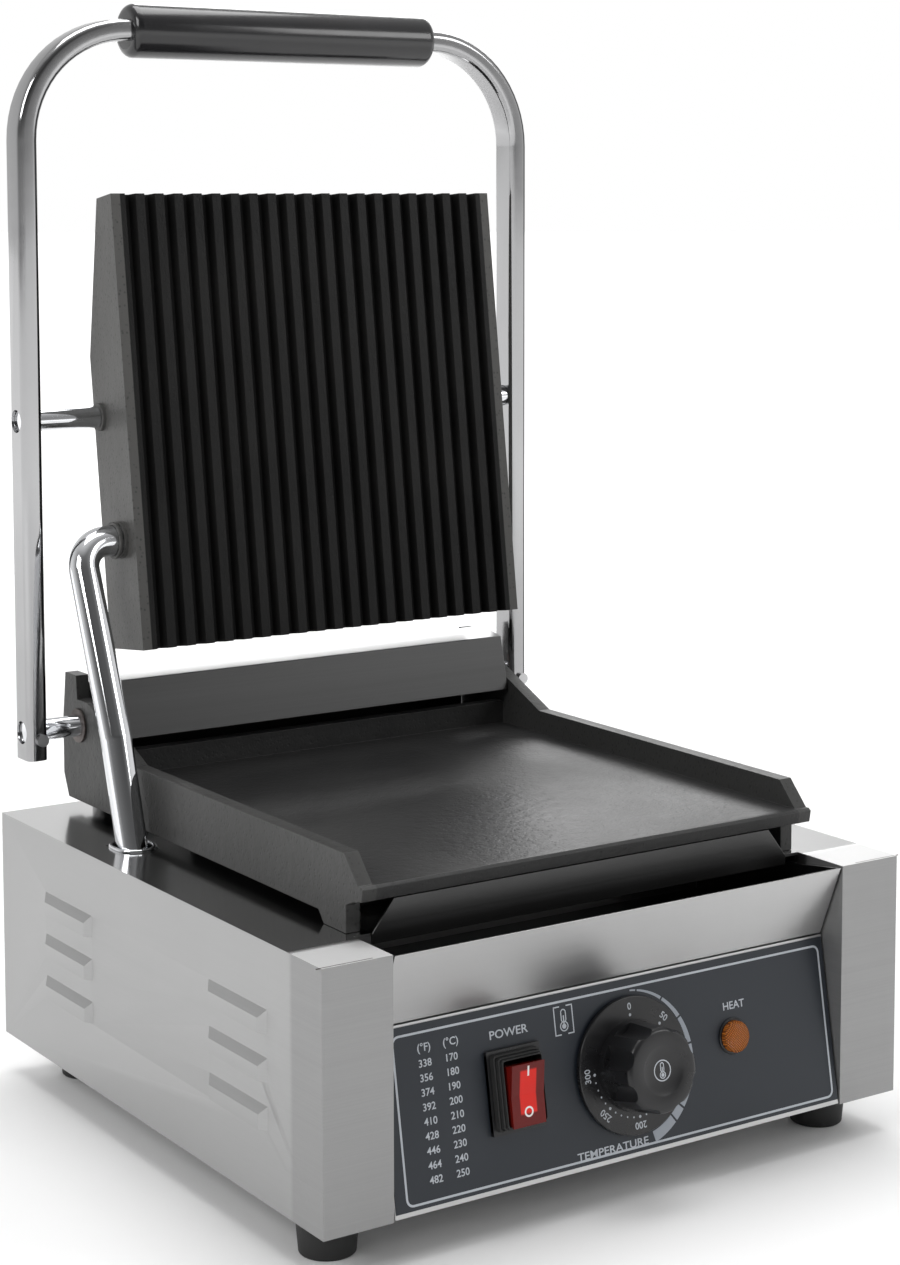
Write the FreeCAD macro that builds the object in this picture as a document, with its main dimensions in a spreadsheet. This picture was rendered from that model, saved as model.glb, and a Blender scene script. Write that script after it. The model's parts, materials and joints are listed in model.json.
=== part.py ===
import FreeCAD, Part
import math
import os
import re
import Sketcher
from FreeCAD import Rotation, Vector

# Contact grill for toasted sandwiches: a sheet steel body, a fixed lower griddle, and a ribbed
# upper griddle that hangs between the arms of a swinging chrome handle.
# +X is the object's right, +Y its back, +Z up. Z = 0 is the surface the feet stand on.

doc = FreeCAD.newDocument("contact_grill")

SIZES = {
    # the knob stands out in front, so the body stands this far behind the origin
    "setback": 8.4,
    # body, folded from sheet
    "body_width": 291.0,
    "body_depth": 291.0,
    "body_height": 105.0,
    "sheet": 1.2,
    "cheek_width": 31.5,
    "notch_depth": 29.0,
    "foot_height": 18.0,
    "foot_radius": 13.0,
    "foot_tip_radius": 11.4,
    "foot_inset": 19.0,
    "rear_foot_inset": 29.5,
    "foot_setback": 29.0,
    "foot_forward": 25.0,
    "foot_shank_radius": 2.5,
    "lead_side": 30.0,
    "lead_back": 70.0,
    # louvres pressed into both sides
    "louvre_length": 51.0,
    "louvre_rise": 11.5,
    "louvre_slope": 5.5,
    "louvre_pitch": 19.3,
    "louvre_proud": 2.4,
    "louvre_top": 80.0,
    "louvre_back": 74.5,
    "louvre_front": 80.3,
    # sloping front
    "panel_height": 74.0,
    "panel_lean": 10.0,
    "panel_gap": 0.6,
    "overlay": 0.4,
    # drip tray
    "tray_length": 84.0,
    "tray_gap": 0.8,
    "splash_half": 106.0,
    "splash_gap": 0.5,
    "splash_drop": 4.2,
    # lower griddle
    "spacer_height": 5.0,
    "griddle_width": 229.0,
    "griddle_front": 125.0,
    "griddle_back": 137.0,
    "griddle_thick": 16.0,
    "griddle_wall": 6.5,
    "griddle_rise": 11.0,
    "griddle_floor": 7.0,
    "leg_front": 13.0,
    "leg_back": 30.0,
    "back_wall_at": 100.0,
    "ear_front": 69.0,
    "ear_rise": 32.0,
    "fin_rise": 43.0,
    "fin_length": 9.0,
    "fin_bulge": 6.5,
    # handle and its shaft
    "pivot_back": 11.0,
    "pivot_rise": 20.0,
    "shaft_radius": 5.0,
    "bush_wall": 1.5,
    "running": 0.08,
    "arch_half": 134.5,
    "arch_shift": 4.0,
    "arch_rise": 321.0,
    "arch_tail": 12.5,
    "arch_bend": 51.0,
    "arm_thick": 10.0,
    "arm_deep": 15.5,
    "arm_round": 3.2,
    "lock_offset": 1.4,
    "lock_drop": 3.0,
    "lock_head_radius": 2.8,
    "grip_radius": 12.4,
    "grip_length": 164.0,
    # upper griddle, in its own frame with the cross pins at the origin
    "pin_rise": 143.5,
    "plate_lean": 7.4,
    "pin_depth": 10.6,
    "pin_to_front": 99.8,
    "pin_to_back": 107.7,
    "plate_thick": 42.0,
    "plate_nose": 18.0,
    "plate_full_at": 29.0,
    "plate_half": 103.5,
    "plate_draft": 3.5,
    "plate_wall": 6.0,
    "plate_floor": 12.0,
    "rib_count": 21.0,
    "rib_depth": 4.5,
    "rib_floor": 2.2,
    "rib_mouth": 5.4,
    "cover_sheet": 1.5,
    "pin_radius": 5.0,
    "boss_radius": 6.5,
    "boss_proud": 2.0,
    # conduit
    "tube_radius": 7.0,
    "tube_bore": 5.8,
    "tube_back_of_tips": 16.7,
    "tube_from_back": 50.4,
    "tube_out": 123.5,
    "tube_bend": 13.0,
    "tube_hole_at": 55.0,
    "tube_end": 8.0,
    "tube_slack": 2.5,
    "tube_trail": 0.8,
    # controls, measured on the sloping panel from its top edge
    "switch_x": -53.5,
    "switch_down": 34.5,
    "switch_width": 25.6,
    "switch_tall": 33.0,
    "switch_flange": 2.0,
    "boot_rise": 6.5,
    "rocker_width": 15.6,
    "rocker_tall": 25.0,
    "axle_radius": 1.5,
    "axle_out": 1.5,
    "knob_x": 4.8,
    "knob_down": 36.3,
    "knob_radius": 18.5,
    "knob_height": 19.0,
    "skirt_radius": 28.0,
    "skirt_thick": 2.2,
    "spindle_radius": 3.0,
    "rocker_tip": 7.0,
    "lamp_x": 59.0,
    "lamp_down": 34.5,
    "lamp_radius": 6.6,
    "lamp_proud": 5.0,
    # inside
    "element_radius": 3.2,
    "element_half": 78.0,
    "spring_wire": 1.25,
    "spring_radius": 8.2,
    "spring_turns": 12.0,
    "gland_radius": 8.0,
    "screw_radius": 2.0,
    "screw_head": 3.6,
}

sheet = doc.addObject("Spreadsheet::Sheet", "Sizes")
for row, (alias, value) in enumerate(SIZES.items(), start=1):
    sheet.set("A%d" % row, alias)
    sheet.set("B%d" % row, "%g" % value)
    sheet.setAlias("B%d" % row, alias)
doc.recompute()

ALIAS = re.compile(r"\b(" + "|".join(SIZES) + r")\b")
subparts = []


def size(alias):
    """The sheet's value of one alias."""
    return float(sheet.get(alias))


def bind(item, prop, expression):
    """Bind a property to an expression written with plain aliases."""
    item.setExpression(prop, ALIAS.sub(r"Sizes.\1", str(expression)))


def place(item, base, turn=None, axis=Vector(1, 0, 0)):
    """Bind a placement's base, and its angle about one axis."""
    if turn is not None:
        item.Placement = FreeCAD.Placement(Vector(), Rotation(axis, 1))
        bind(item, "Placement.Rotation.Angle", turn)
    for name, expression in zip("xyz", base):
        bind(item, "Placement.Base." + name, expression)
    return item


def box(name, spans, corner):
    """A Part::Box from its three spans and lowest corner."""
    item = doc.addObject("Part::Box", name)
    for prop, expression in zip(("Length", "Width", "Height"), spans):
        bind(item, prop, expression)
    return place(item, corner)


def rod(name, radius, length, start, axis="z"):
    """A Part::Cylinder from its start point along +x, +y or +z."""
    item = doc.addObject("Part::Cylinder", name)
    bind(item, "Radius", radius)
    bind(item, "Height", length)
    turns = {"x": Rotation(Vector(0, 1, 0), 90), "y": Rotation(Vector(1, 0, 0), -90), "z": Rotation()}
    item.Placement = FreeCAD.Placement(Vector(), turns[axis])
    return place(item, start)


def cone(name, radius, tip, length, start, axis="z"):
    """A Part::Cone from its start point along +x, +y or +z."""
    item = doc.addObject("Part::Cone", name)
    bind(item, "Radius1", radius)
    bind(item, "Radius2", tip)
    bind(item, "Height", length)
    turns = {"x": Rotation(Vector(0, 1, 0), 90), "y": Rotation(Vector(1, 0, 0), -90), "z": Rotation()}
    item.Placement = FreeCAD.Placement(Vector(), turns[axis])
    return place(item, start)


def cut(name, base, *tools):
    """Base less every tool."""
    tool = tools[0] if len(tools) == 1 else fuse(name + "_tools", *tools)
    item = doc.addObject("Part::Cut", name)
    item.Base = base
    item.Tool = tool
    return item


def fuse(name, *items):
    """All items joined."""
    item = doc.addObject("Part::MultiFuse", name)
    item.Shapes = list(items)
    item.Refine = True
    return item


def group(name, *items):
    """Separate solids kept in one sub-part."""
    item = doc.addObject("Part::Compound", name)
    item.Links = list(items)
    return item


def keep(item, label):
    """Register a finished sub-part under its own label."""
    item.Label = label
    subparts.append(item)
    return item


def origin_plane(body, role):
    """One of a body's own origin planes."""
    return next(f for f in body.Origin.OriginFeatures if f.Role == role)


def open_sketch(body, name, role):
    """A sketch on one of the body's own origin planes."""
    sketch = body.newObject("Sketcher::SketchObject", name)
    sketch.AttachmentSupport = [(origin_plane(body, role), "")]
    sketch.MapMode = "FlatFace"
    return sketch


def outline(body, name, role, points):
    """A closed polygon; each corner's two places are bound to expressions."""
    sketch = open_sketch(body, name, role)
    guess = [Vector(*[value_of(e) for e in point], 0) for point in points]
    count = len(points)
    for i in range(count):
        sketch.addGeometry(Part.LineSegment(guess[i], guess[(i + 1) % count]))
    for i in range(count):
        sketch.addConstraint(Sketcher.Constraint("Coincident", i, 2, (i + 1) % count, 1))
    for i, point in enumerate(points):
        for kind, place_now, expression in zip(("DistanceX", "DistanceY"), guess[i], point):
            index = sketch.addConstraint(Sketcher.Constraint(kind, -1, 1, i, 1, place_now))
            bind(sketch, "Constraints[%d]" % index, expression)
    return sketch


def value_of(expression):
    """An expression's number now, for a sketch's first guess."""
    return float(sheet.evalExpression(ALIAS.sub(r"Sizes.\1", str(expression))))


def pad(body, sketch, length, midplane=True, name="Pad"):
    """A pad of the sketch, centred on its plane unless told otherwise."""
    item = body.newObject("PartDesign::Pad", name)
    item.Profile = sketch
    bind(item, "Length", length)
    item.Midplane = midplane
    return item


def prism(name, role, points, length):
    """A body that is one outline padded both ways from its origin plane."""
    body = doc.addObject("PartDesign::Body", name)
    pad(body, outline(body, name + "_outline", role, points), length, name=name + "_pad")
    return body


# levels and lines that several pieces share, written once
BODY_TOP = "(foot_height + body_height)"
GRIDDLE_BASE = "(foot_height + body_height + spacer_height)"
DECK = "(foot_height + body_height + spacer_height + griddle_thick)"
PIVOT_Y = "(griddle_back - pivot_back)"
PIVOT_Z = "(foot_height + body_height + spacer_height + griddle_thick + pivot_rise)"
PANEL_Y = "(-body_depth / 2 + panel_height * sin(panel_lean))"
PANEL_Z = "(foot_height + panel_height * cos(panel_lean))"
PIN_Z = "(foot_height + body_height + spacer_height + griddle_thick + pivot_rise + pin_rise)"
OPENING = "(body_width - 2 * cheek_width)"


def louvre(name, side, back_to_front, level):
    """One louvre's hood and the slot that it covers, on the side named by -1 or 1."""
    face = "%d * body_width / 2" % side
    hood = doc.addObject("Part::Wedge", name + "_hood")
    for prop, expression in (
        ("Xmin", "0"), ("Ymin", "0"), ("Zmin", "0"), ("X2min", "louvre_slope"), ("Z2min", "0"),
        ("Xmax", "louvre_length"), ("Ymax", "louvre_proud + sheet"), ("Zmax", "louvre_rise"),
        ("X2max", "louvre_length - louvre_slope"), ("Z2max", "louvre_rise - louvre_slope"),
    ):
        bind(hood, prop, expression)
    hood.Placement = FreeCAD.Placement(Vector(), Rotation(Vector(0, 0, 1), -90 * side))
    start = "%s + (%d) * louvre_length / 2" % (back_to_front, side)
    place(hood, ("%s - (%d) * sheet" % (face, side), start, level))
    slot_x = "-body_width / 2 - louvre_proud + 0.8" if side < 0 else "body_width / 2 - sheet - 1"
    slot = box(name + "_slot",
               ("louvre_proud + sheet + 0.2", "louvre_length - 2 * louvre_slope - 2", "louvre_rise - louvre_slope - 1"),
               (slot_x, back_to_front + " - louvre_length / 2 + louvre_slope + 1", level + " - 1"))
    return hood, slot


def body_shell():
    """The folded shell: sides, top, cheeks with their returns, slots and louvres."""
    outer = box("shell_outer", ("body_width", "body_depth", "body_height"),
                ("-body_width / 2", "-body_depth / 2", "foot_height"))
    inner = box("shell_inner", ("body_width - 2 * sheet", "body_depth - 2 * sheet", "body_height"),
                ("-body_width / 2 + sheet", "-body_depth / 2 + sheet", "foot_height - sheet"))
    front = box("shell_front", (OPENING, "3 * sheet", "body_height + 2"),
                ("-" + OPENING + " / 2", "-body_depth / 2 - sheet", "foot_height - 1"))
    notch = box("shell_notch", (OPENING, "notch_depth + 1", "3 * sheet"),
                ("-" + OPENING + " / 2", "-body_depth / 2 - 1", BODY_TOP + " - 2 * sheet"))
    rear = box("shell_rear", ("body_width - 24", "3 * sheet", "body_height - 12"),
               ("-body_width / 2 + 12", "body_depth / 2 - 2 * sheet", "foot_height - 1"))
    slot = box("shell_tube_slot", ("2 * tube_radius + 3", "2 * tube_radius + 2 * tube_slack", "3 * sheet"),
               ("-tube_out - tube_radius - 1.5", "tube_hole_at - tube_trail - tube_radius - tube_slack",
                BODY_TOP + " - 2 * sheet"))
    holes = [rod("shell_lead_%d" % i, "7", "3 * sheet", (x, "lead_back", BODY_TOP + " - 2 * sheet"))
             for i, x in enumerate(("-lead_side", "lead_side"))]
    hoods, slots = [], []
    for side in (-1, 1):
        for group_name, at in (("back", "louvre_back"), ("front", "-louvre_front")):
            for i in range(3):
                name = "louvre_%s%s%d" % (group_name, "lr"[side > 0], i)
                level = "foot_height + louvre_top - louvre_rise - %d * louvre_pitch" % i
                hood, gap = louvre(name, side, at, level)
                hoods.append(hood)
                slots.append(gap)
    returns = [box("shell_return_%d" % i, ("sheet", "notch_depth", "body_height - sheet - running"),
                   (x, "-body_depth / 2", "foot_height + sheet + running"))
               for i, x in enumerate(("-" + OPENING + " / 2 - sheet", OPENING + " / 2"))]
    skin = cut("shell_skin", outer, inner, front, notch, rear, slot, *holes)
    added = fuse("shell_added", skin, *returns, *hoods)
    return keep(cut("shell", added, *slots, *back_holes("shell_screw_hole")), "body_shell")


def bottom_plate():
    """The flat bottom with vent slots and the holes of the feet's screws."""
    plate = box("bottom", ("body_width - 2 * sheet - 1", "body_depth - 2 * sheet - 4", "sheet"),
                ("-body_width / 2 + sheet + 0.5", "-body_depth / 2 + sheet + 3", "foot_height"))
    vents = [box("bottom_vent_%d" % i, ("90", "5", "3 * sheet"),
                 ("-45", "%d" % y, "foot_height - sheet")) for i, y in enumerate((-30, -10, 10, 30))]
    holes = [rod("bottom_hole_%d" % i, "foot_shank_radius + 0.3", "3 * sheet", (x, y, "foot_height - sheet"))
             for i, (x, y) in enumerate(foot_places())]
    return keep(cut("bottom_cut", plate, *vents, *holes), "bottom_plate")


def foot_places():
    """The four feet's centres."""
    rows = (("foot_inset", "-body_depth / 2 + foot_setback"),
            ("rear_foot_inset", "body_depth / 2 - foot_forward"))
    return [("%s * (body_width / 2 - %s)" % (side, inset), y) for inset, y in rows for side in ("-1", "1")]


def feet():
    """Four rubber feet, and the screws that hold them."""
    pads, screws = [], []
    for i, (x, y) in enumerate(foot_places()):
        shape = cone("foot_shape_%d" % i, "foot_tip_radius", "foot_radius", "foot_height", (x, y, "0"))
        bore = rod("foot_bore_%d" % i, "foot_shank_radius + 0.1", "foot_height + 2", (x, y, "-1"))
        recess = rod("foot_recess_%d" % i, "screw_head + 1.4", "6", (x, y, "-1"))
        pads.append(cut("foot_%d" % i, shape, bore, recess))
        shank = rod("foot_shank_%d" % i, "foot_shank_radius", "foot_height + sheet", (x, y, "5"))
        head = rod("foot_head_%d" % i, "screw_head + 1", "3", (x, y, "2"))
        screws.append(fuse("foot_screw_%d" % i, shank, head))
    keep(group("feet_group", *pads), "feet")
    keep(group("foot_screws_group", *screws), "foot_screws")


def back_places():
    """Where the four screws of the rear sheet are, as x and z."""
    return [("%s * (body_width / 2 - 6.5)" % side, "foot_height + %s" % rise)
            for side in ("-1", "1") for rise in ("15", "90")]


def back_holes(name):
    """The tools that cut the rear sheet's screw holes."""
    start = "body_depth / 2 - 3 * sheet"
    return [rod("%s_%d" % (name, i), "screw_radius + running", "4 * sheet", (x, start, z), "y")
            for i, (x, z) in enumerate(back_places())]


def back_panel():
    """The inset rear sheet with the hole of the mains gland, and its four screws."""
    level = "body_depth / 2 - 2 * sheet - 0.2"
    plate = box("back", ("body_width - 2 * sheet - 1", "sheet", "body_height - sheet - 2.5"),
                ("-body_width / 2 + sheet + 0.5", level, "foot_height + sheet + 0.5"))
    hole = rod("back_hole", "gland_radius - 2", "4 * sheet",
               ("body_width / 2 - 60", level + " - sheet", "foot_height + 35"), "y")
    keep(cut("back_cut", plate, hole, *back_holes("back_screw_hole")), "back_panel")
    heads = []
    for i, (x, z) in enumerate(back_places()):
        shank = rod("back_shank_%d" % i, "screw_radius", "2 * sheet + 0.4",
                    (x, "body_depth / 2 - 2 * sheet - 0.4", z), "y")
        head = rod("back_head_%d" % i, "screw_head", "1.5", (x, "body_depth / 2", z), "y")
        heads.append(fuse("back_screw_%d" % i, shank, head))
    keep(group("back_screws_group", *heads), "back_screws")


def cord_gland():
    """The mains gland: a collar each side of the rear sheet, joined through its hole."""
    x, z = "body_width / 2 - 60", "foot_height + 35"
    level = "body_depth / 2 - 2 * sheet - 0.2"
    front = rod("gland_in", "gland_radius + 1", "4", (x, level + " - 4", z), "y")
    neck = rod("gland_neck", "gland_radius - 2.1", "sheet + 2", (x, level + " - 1", z), "y")
    collar = rod("gland_out", "gland_radius", "2.2", (x, level + " + sheet", z), "y")
    bore = rod("gland_bore", "3.6", "14", (x, level + " - 7", z), "y")
    return keep(cut("gland", fuse("gland_solid", front, neck, collar), bore), "cord_gland")


def on_panel(item):
    """Stand an item, drawn upright with the panel's top edge at its origin, on the sloping front."""
    return place(item, ("0", PANEL_Y, PANEL_Z), "-panel_lean")


def panel_hole(name, deep="6"):
    """The tools that cut the switch, spindle and lamp holes in a sheet on the panel."""
    switch = box(name + "_switch", ("switch_width - 3", deep, "switch_tall - 3"),
                 ("switch_x - switch_width / 2 + 1.5", "-" + deep + " / 2",
                  "-switch_down - switch_tall / 2 + 1.5"))
    spindle = rod(name + "_spindle", "spindle_radius + 2.2", deep, ("knob_x", "-" + deep + " / 2", "-knob_down"),
                  "y")
    lamp = rod(name + "_lamp", "lamp_radius - 1.5", deep, ("lamp_x", "-" + deep + " / 2", "-lamp_down"), "y")
    return switch, spindle, lamp


def control_panel():
    """The sloping steel panel and the printed film stuck to it."""
    plate = box("panel", (OPENING + " - 2 * panel_gap", "sheet", "panel_height - 1"),
                ("-" + OPENING + " / 2 + panel_gap", "0", "-panel_height + 0.5"))
    on_panel(keep(cut("panel_cut", plate, *panel_hole("panel_hole")), "control_panel"))
    film = box("film", (OPENING + " - 2 * panel_gap - 1", "overlay", "panel_height - 4"),
               ("-" + OPENING + " / 2 + panel_gap + 0.5", "-overlay", "-panel_height + 2.5"))
    on_panel(keep(cut("film_cut", film, *panel_hole("film_hole")), "panel_overlay"))


def tray_shelf():
    """The shelf that the drip tray slides on, hung between the cheeks' returns."""
    floor = box("shelf_floor", (OPENING, "tray_length + 8", "sheet"),
                ("-" + OPENING + " / 2", PANEL_Y + " + 2", PANEL_Z + " - sheet - 0.3"))
    back = box("shelf_back", (OPENING, "sheet", "14"),
               ("-" + OPENING + " / 2", PANEL_Y + " + 10 + tray_length - sheet", PANEL_Z + " - sheet - 0.3"))
    return keep(fuse("shelf", floor, back), "tray_shelf")


def drip_tray():
    """The drip tray: a folded box whose front leans out to the body's front plane."""
    lip = BODY_TOP + " - 0.6"
    base = PANEL_Z
    front_top = "-body_depth / 2"
    front_base = PANEL_Y
    back = PANEL_Y + " + tray_length"
    outer = prism("tray_outer", "YZ_Plane", [
        (front_base, base), (back, base), (back, lip + " - 4"), (front_top + " + notch_depth + 2", lip + " - 4"),
        (front_top + " + notch_depth - 1", lip + " - 4"), (front_top, lip),
    ], OPENING + " - 2 * tray_gap")
    inner = prism("tray_inner", "YZ_Plane", [
        (front_base + " + 2 * sheet", base + " + sheet"), (back + " - sheet", base + " + sheet"),
        (back + " - sheet", lip + " + 6"), (front_top + " - 0.1 + 1.3 * sheet", lip + " + 6"),
        (front_top + " + 1.3 * sheet", lip),
    ], OPENING + " - 2 * tray_gap - 2 * sheet")
    return keep(cut("tray", outer, inner), "drip_tray")


def splash_plate():
    """The upstand that hangs in front of the top sheet's notch, with slanted ends."""
    back = "(notch_depth - body_depth / 2 - running)"
    under_nose = "max(0; %s + griddle_front - 6)" % back
    top = "%s - 6.5 - splash_gap - %s * (griddle_thick - 6.5) / 22" % (DECK, under_nose)
    body = doc.addObject("PartDesign::Body", "splash")
    sketch = outline(body, "splash_outline", "XZ_Plane", [
        ("-splash_half", BODY_TOP + " - splash_drop"), ("splash_half", BODY_TOP + " - splash_drop"),
        ("splash_half", BODY_TOP), ("splash_half - 10", top), ("-splash_half + 10", top), ("-splash_half", BODY_TOP),
    ])
    pad(body, sketch, "sheet", name="splash_pad")
    return place(keep(body, "splash_plate"), ("0", back + " - sheet / 2", "0"))


def lower_griddle():
    """The fixed casting: deck, low walls with a leg each, back wall, and the ears that carry the shaft."""
    half = "griddle_width / 2"
    front = "-griddle_front"
    deck = prism("deck", "YZ_Plane", [
        (front + " + 0.6", DECK + " - 1"), (front + " + 2", DECK), ("griddle_back", DECK),
        ("griddle_back", GRIDDLE_BASE + " + 3"), ("griddle_back - 3", GRIDDLE_BASE),
        (front + " + 28", GRIDDLE_BASE), (front + " + 6", DECK + " - 6.5"), (front + " + 1.5", DECK + " - 6"),
    ], "griddle_width")
    under = box("deck_under", ("griddle_width - 2 * griddle_wall", "griddle_front + griddle_back - 52",
                               "griddle_thick - griddle_floor + 1"),
                ("-" + half + " + griddle_wall", front + " + 44", GRIDDLE_BASE + " - 1"))
    back_wall = box("back_wall", ("griddle_width - 2 * griddle_wall + 2", "griddle_wall", "griddle_rise + 1"),
                    ("-" + half + " + griddle_wall - 1", "back_wall_at", DECK + " - 1"))
    walls = []
    for name, x in (("left", "-" + half + " + griddle_wall / 2"), ("right", half + " - griddle_wall / 2")):
        wall = prism("wall_" + name, "YZ_Plane", [
            (front + " + 1", DECK + " - 3"), (front + " + 14", DECK + " + griddle_rise"),
            ("ear_front", DECK + " + griddle_rise"), (PIVOT_Y + " - 9", DECK + " + ear_rise"),
            ("griddle_back - fin_length", DECK + " + ear_rise"),
            ("griddle_back - fin_length + 1", DECK + " + fin_rise"),
            ("griddle_back + fin_bulge - 3", DECK + " + fin_rise"),
            ("griddle_back + fin_bulge", DECK + " + fin_rise / 2"),
            ("griddle_back + fin_bulge", DECK + " - griddle_thick / 3"),
            ("griddle_back + fin_bulge - 5", GRIDDLE_BASE), ("griddle_back - 12", GRIDDLE_BASE),
            (front + " + leg_back + 4", GRIDDLE_BASE), (front + " + leg_back", BODY_TOP + " + running"),
            (front + " + leg_front", BODY_TOP + " + running"), (front + " + leg_front", DECK + " - 7"),
            (front + " + 5", DECK + " - 7"),
        ], "griddle_wall")
        walls.append(place(wall, (x, "0", "0")))
    bores = rod("ear_bores", "shaft_radius + bush_wall", "griddle_width + 2",
                ("-" + half + " - 1", PIVOT_Y, PIVOT_Z), "x")
    solid = fuse("griddle_solid", deck, back_wall, *walls)
    return keep(cut("griddle", solid, under, bores), "lower_griddle")


def griddle_spacers():
    """Four short pillars between the casting and the top sheet."""
    places = [(x, y) for x in ("-100", "100") for y in ("-griddle_front + 35", "griddle_back - 5")]
    posts = [rod("spacer_%d" % i, "5", "spacer_height", (x, y, BODY_TOP)) for i, (x, y) in enumerate(places)]
    keep(group("spacers", *posts), "griddle_spacers")
    nuts = [rod("griddle_nut_%d" % i, "4", "2.5", (x, y, BODY_TOP + " - sheet - 2.5"))
            for i, (x, y) in enumerate(places)]
    keep(group("griddle_nuts_group", *nuts), "griddle_nuts")


def shaft_bushes():
    """A flanged bush in each ear."""
    parts = []
    for i, side in enumerate(("-1", "1")):
        start = "%s * griddle_width / 2 - griddle_wall / 2 - %s * griddle_wall / 2" % (side, side)
        sleeve = rod("bush_sleeve_%d" % i, "shaft_radius + bush_wall", "griddle_wall",
                     (start, PIVOT_Y, PIVOT_Z), "x")
        flange_at = "%s * (griddle_width / 2 + 0.6) - 0.6" % side
        flange = rod("bush_flange_%d" % i, "shaft_radius + 3", "1.2", (flange_at, PIVOT_Y, PIVOT_Z), "x")
        bore = rod("bush_bore_%d" % i, "shaft_radius + running", "griddle_wall + 6",
                   (start + " - 3", PIVOT_Y, PIVOT_Z), "x")
        parts.append(cut("bush_%d" % i, fuse("bush_solid_%d" % i, sleeve, flange), bore))
    keep(group("bushes", *parts), "shaft_bushes")


def rear_cover():
    """The bent sheet over the shaft and its springs, screwed to the back of the casting."""
    skin = [("back_wall_at - 5", "17.5"), ("back_wall_at + 1.5", "44"), ("back_wall_at + 18", "47"),
            ("griddle_back + 1.4", "34"), ("griddle_back + 1.4", "-11")]
    inner = [("griddle_back + 0.2", "-11"), ("griddle_back + 0.2", "33.2"), ("back_wall_at + 17.8", "45.7"),
             ("back_wall_at + 2.5", "42.9"), ("back_wall_at - 3.7", "17.5")]
    points = [(y, "%s + %s" % (DECK, z)) for y, z in skin + inner]
    cover = prism("cover", "YZ_Plane", points, "griddle_width - 2 * griddle_wall - 0.8")
    keep(cover, "rear_cover")
    screws = []
    for i, x in enumerate(("-70", "70")):
        head = rod("cover_head_%d" % i, "screw_head", "1.6", (x, "griddle_back + 1.4", DECK + " - 6"), "y")
        screws.append(head)
    keep(group("cover_screws_group", *screws), "cover_screws")


def bent_tube(points, radius, bend, bore=0.0):
    """A round tube along straight runs joined by tangent arcs of one radius."""
    edges = []
    last = points[0]
    for i in range(1, len(points) - 1):
        before = (points[i - 1] - points[i]).normalize()
        after = (points[i + 1] - points[i]).normalize()
        half_turn = 90 - math.degrees(before.getAngle(after)) / 2
        reach = bend * math.tan(math.radians(half_turn))
        start = points[i] + before * reach
        end = points[i] + after * reach
        middle_line = (before + after).normalize()
        depth = bend / math.cos(math.radians(half_turn)) - bend
        edges.append(Part.LineSegment(last, start).toShape())
        edges.append(Part.Arc(start, points[i] + middle_line * depth, end).toShape())
        last = end
    edges.append(Part.LineSegment(last, points[-1]).toShape())
    spine = Part.Wire(edges)
    direction = points[1] - points[0]
    circle = Part.Wire([Part.makeCircle(radius, points[0], direction)])
    solid = spine.makePipeShell([circle], True, True)
    if bore:
        hole = Part.Wire([Part.makeCircle(bore, points[0], direction)])
        solid = solid.cut(spine.makePipeShell([hole], True, True))
    return solid


def feature(name, shape):
    """A Part::Feature that holds a shape made by Part's own functions."""
    item = doc.addObject("Part::Feature", name)
    item.Shape = shape
    return item


def element_route(half, front, back, level):
    """A heating element's route: two hairpins that fill a rectangle, with both ends at the back."""
    step = 2 * half / 5
    xs = [-half + i * step for i in range(6)]
    points = []
    for i, x in enumerate(xs):
        ends = (back, front) if i % 2 == 0 else (front, back)
        points += [Vector(x, ends[0], level), Vector(x, ends[1], level)]
    return points


def lower_element():
    """The lower heating element, clamped under the deck, and its clamp plate."""
    level = value_of(DECK) - size("griddle_floor") - size("element_radius") - 0.1
    route = element_route(size("element_half"), -75.0, 80.0, level)
    keep(feature("lower_heater", bent_tube(route, size("element_radius"), 12.0)), "lower_element")
    bar = box("clamp", ("2 * element_half + 14", "18", "sheet"),
              ("-element_half - 7", "-9", DECK + " - griddle_floor - 2 * element_radius - sheet - 0.3"))
    keep(bar, "element_clamp")


def counter_springs():
    """The two torsion springs round the shaft that balance the handle."""
    coils = []
    pitch = 2 * size("spring_wire") + 0.35
    height = pitch * size("spring_turns")
    for start in (-size("griddle_width") / 2 + 12, size("griddle_width") / 2 - 12 - height):
        helix = Part.makeHelix(pitch, height, size("spring_radius"))
        section = Part.Wire([Part.makeCircle(size("spring_wire"), Vector(size("spring_radius"), 0, 0),
                                             Vector(0, 1, 0))])
        coil = Part.Wire(helix).makePipeShell([section], True, True)
        coil.rotate(Vector(), Vector(0, 1, 0), 90)
        coil.translate(Vector(start, value_of(PIVOT_Y), value_of(PIVOT_Z)))
        coils.append(coil)
    return keep(feature("springs", Part.makeCompound(coils)), "counter_springs")


def on_handle(item):
    """Stand an item, drawn round the shaft's middle, on the pivot."""
    return place(item, ("-arch_shift", PIVOT_Y, PIVOT_Z))


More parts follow.
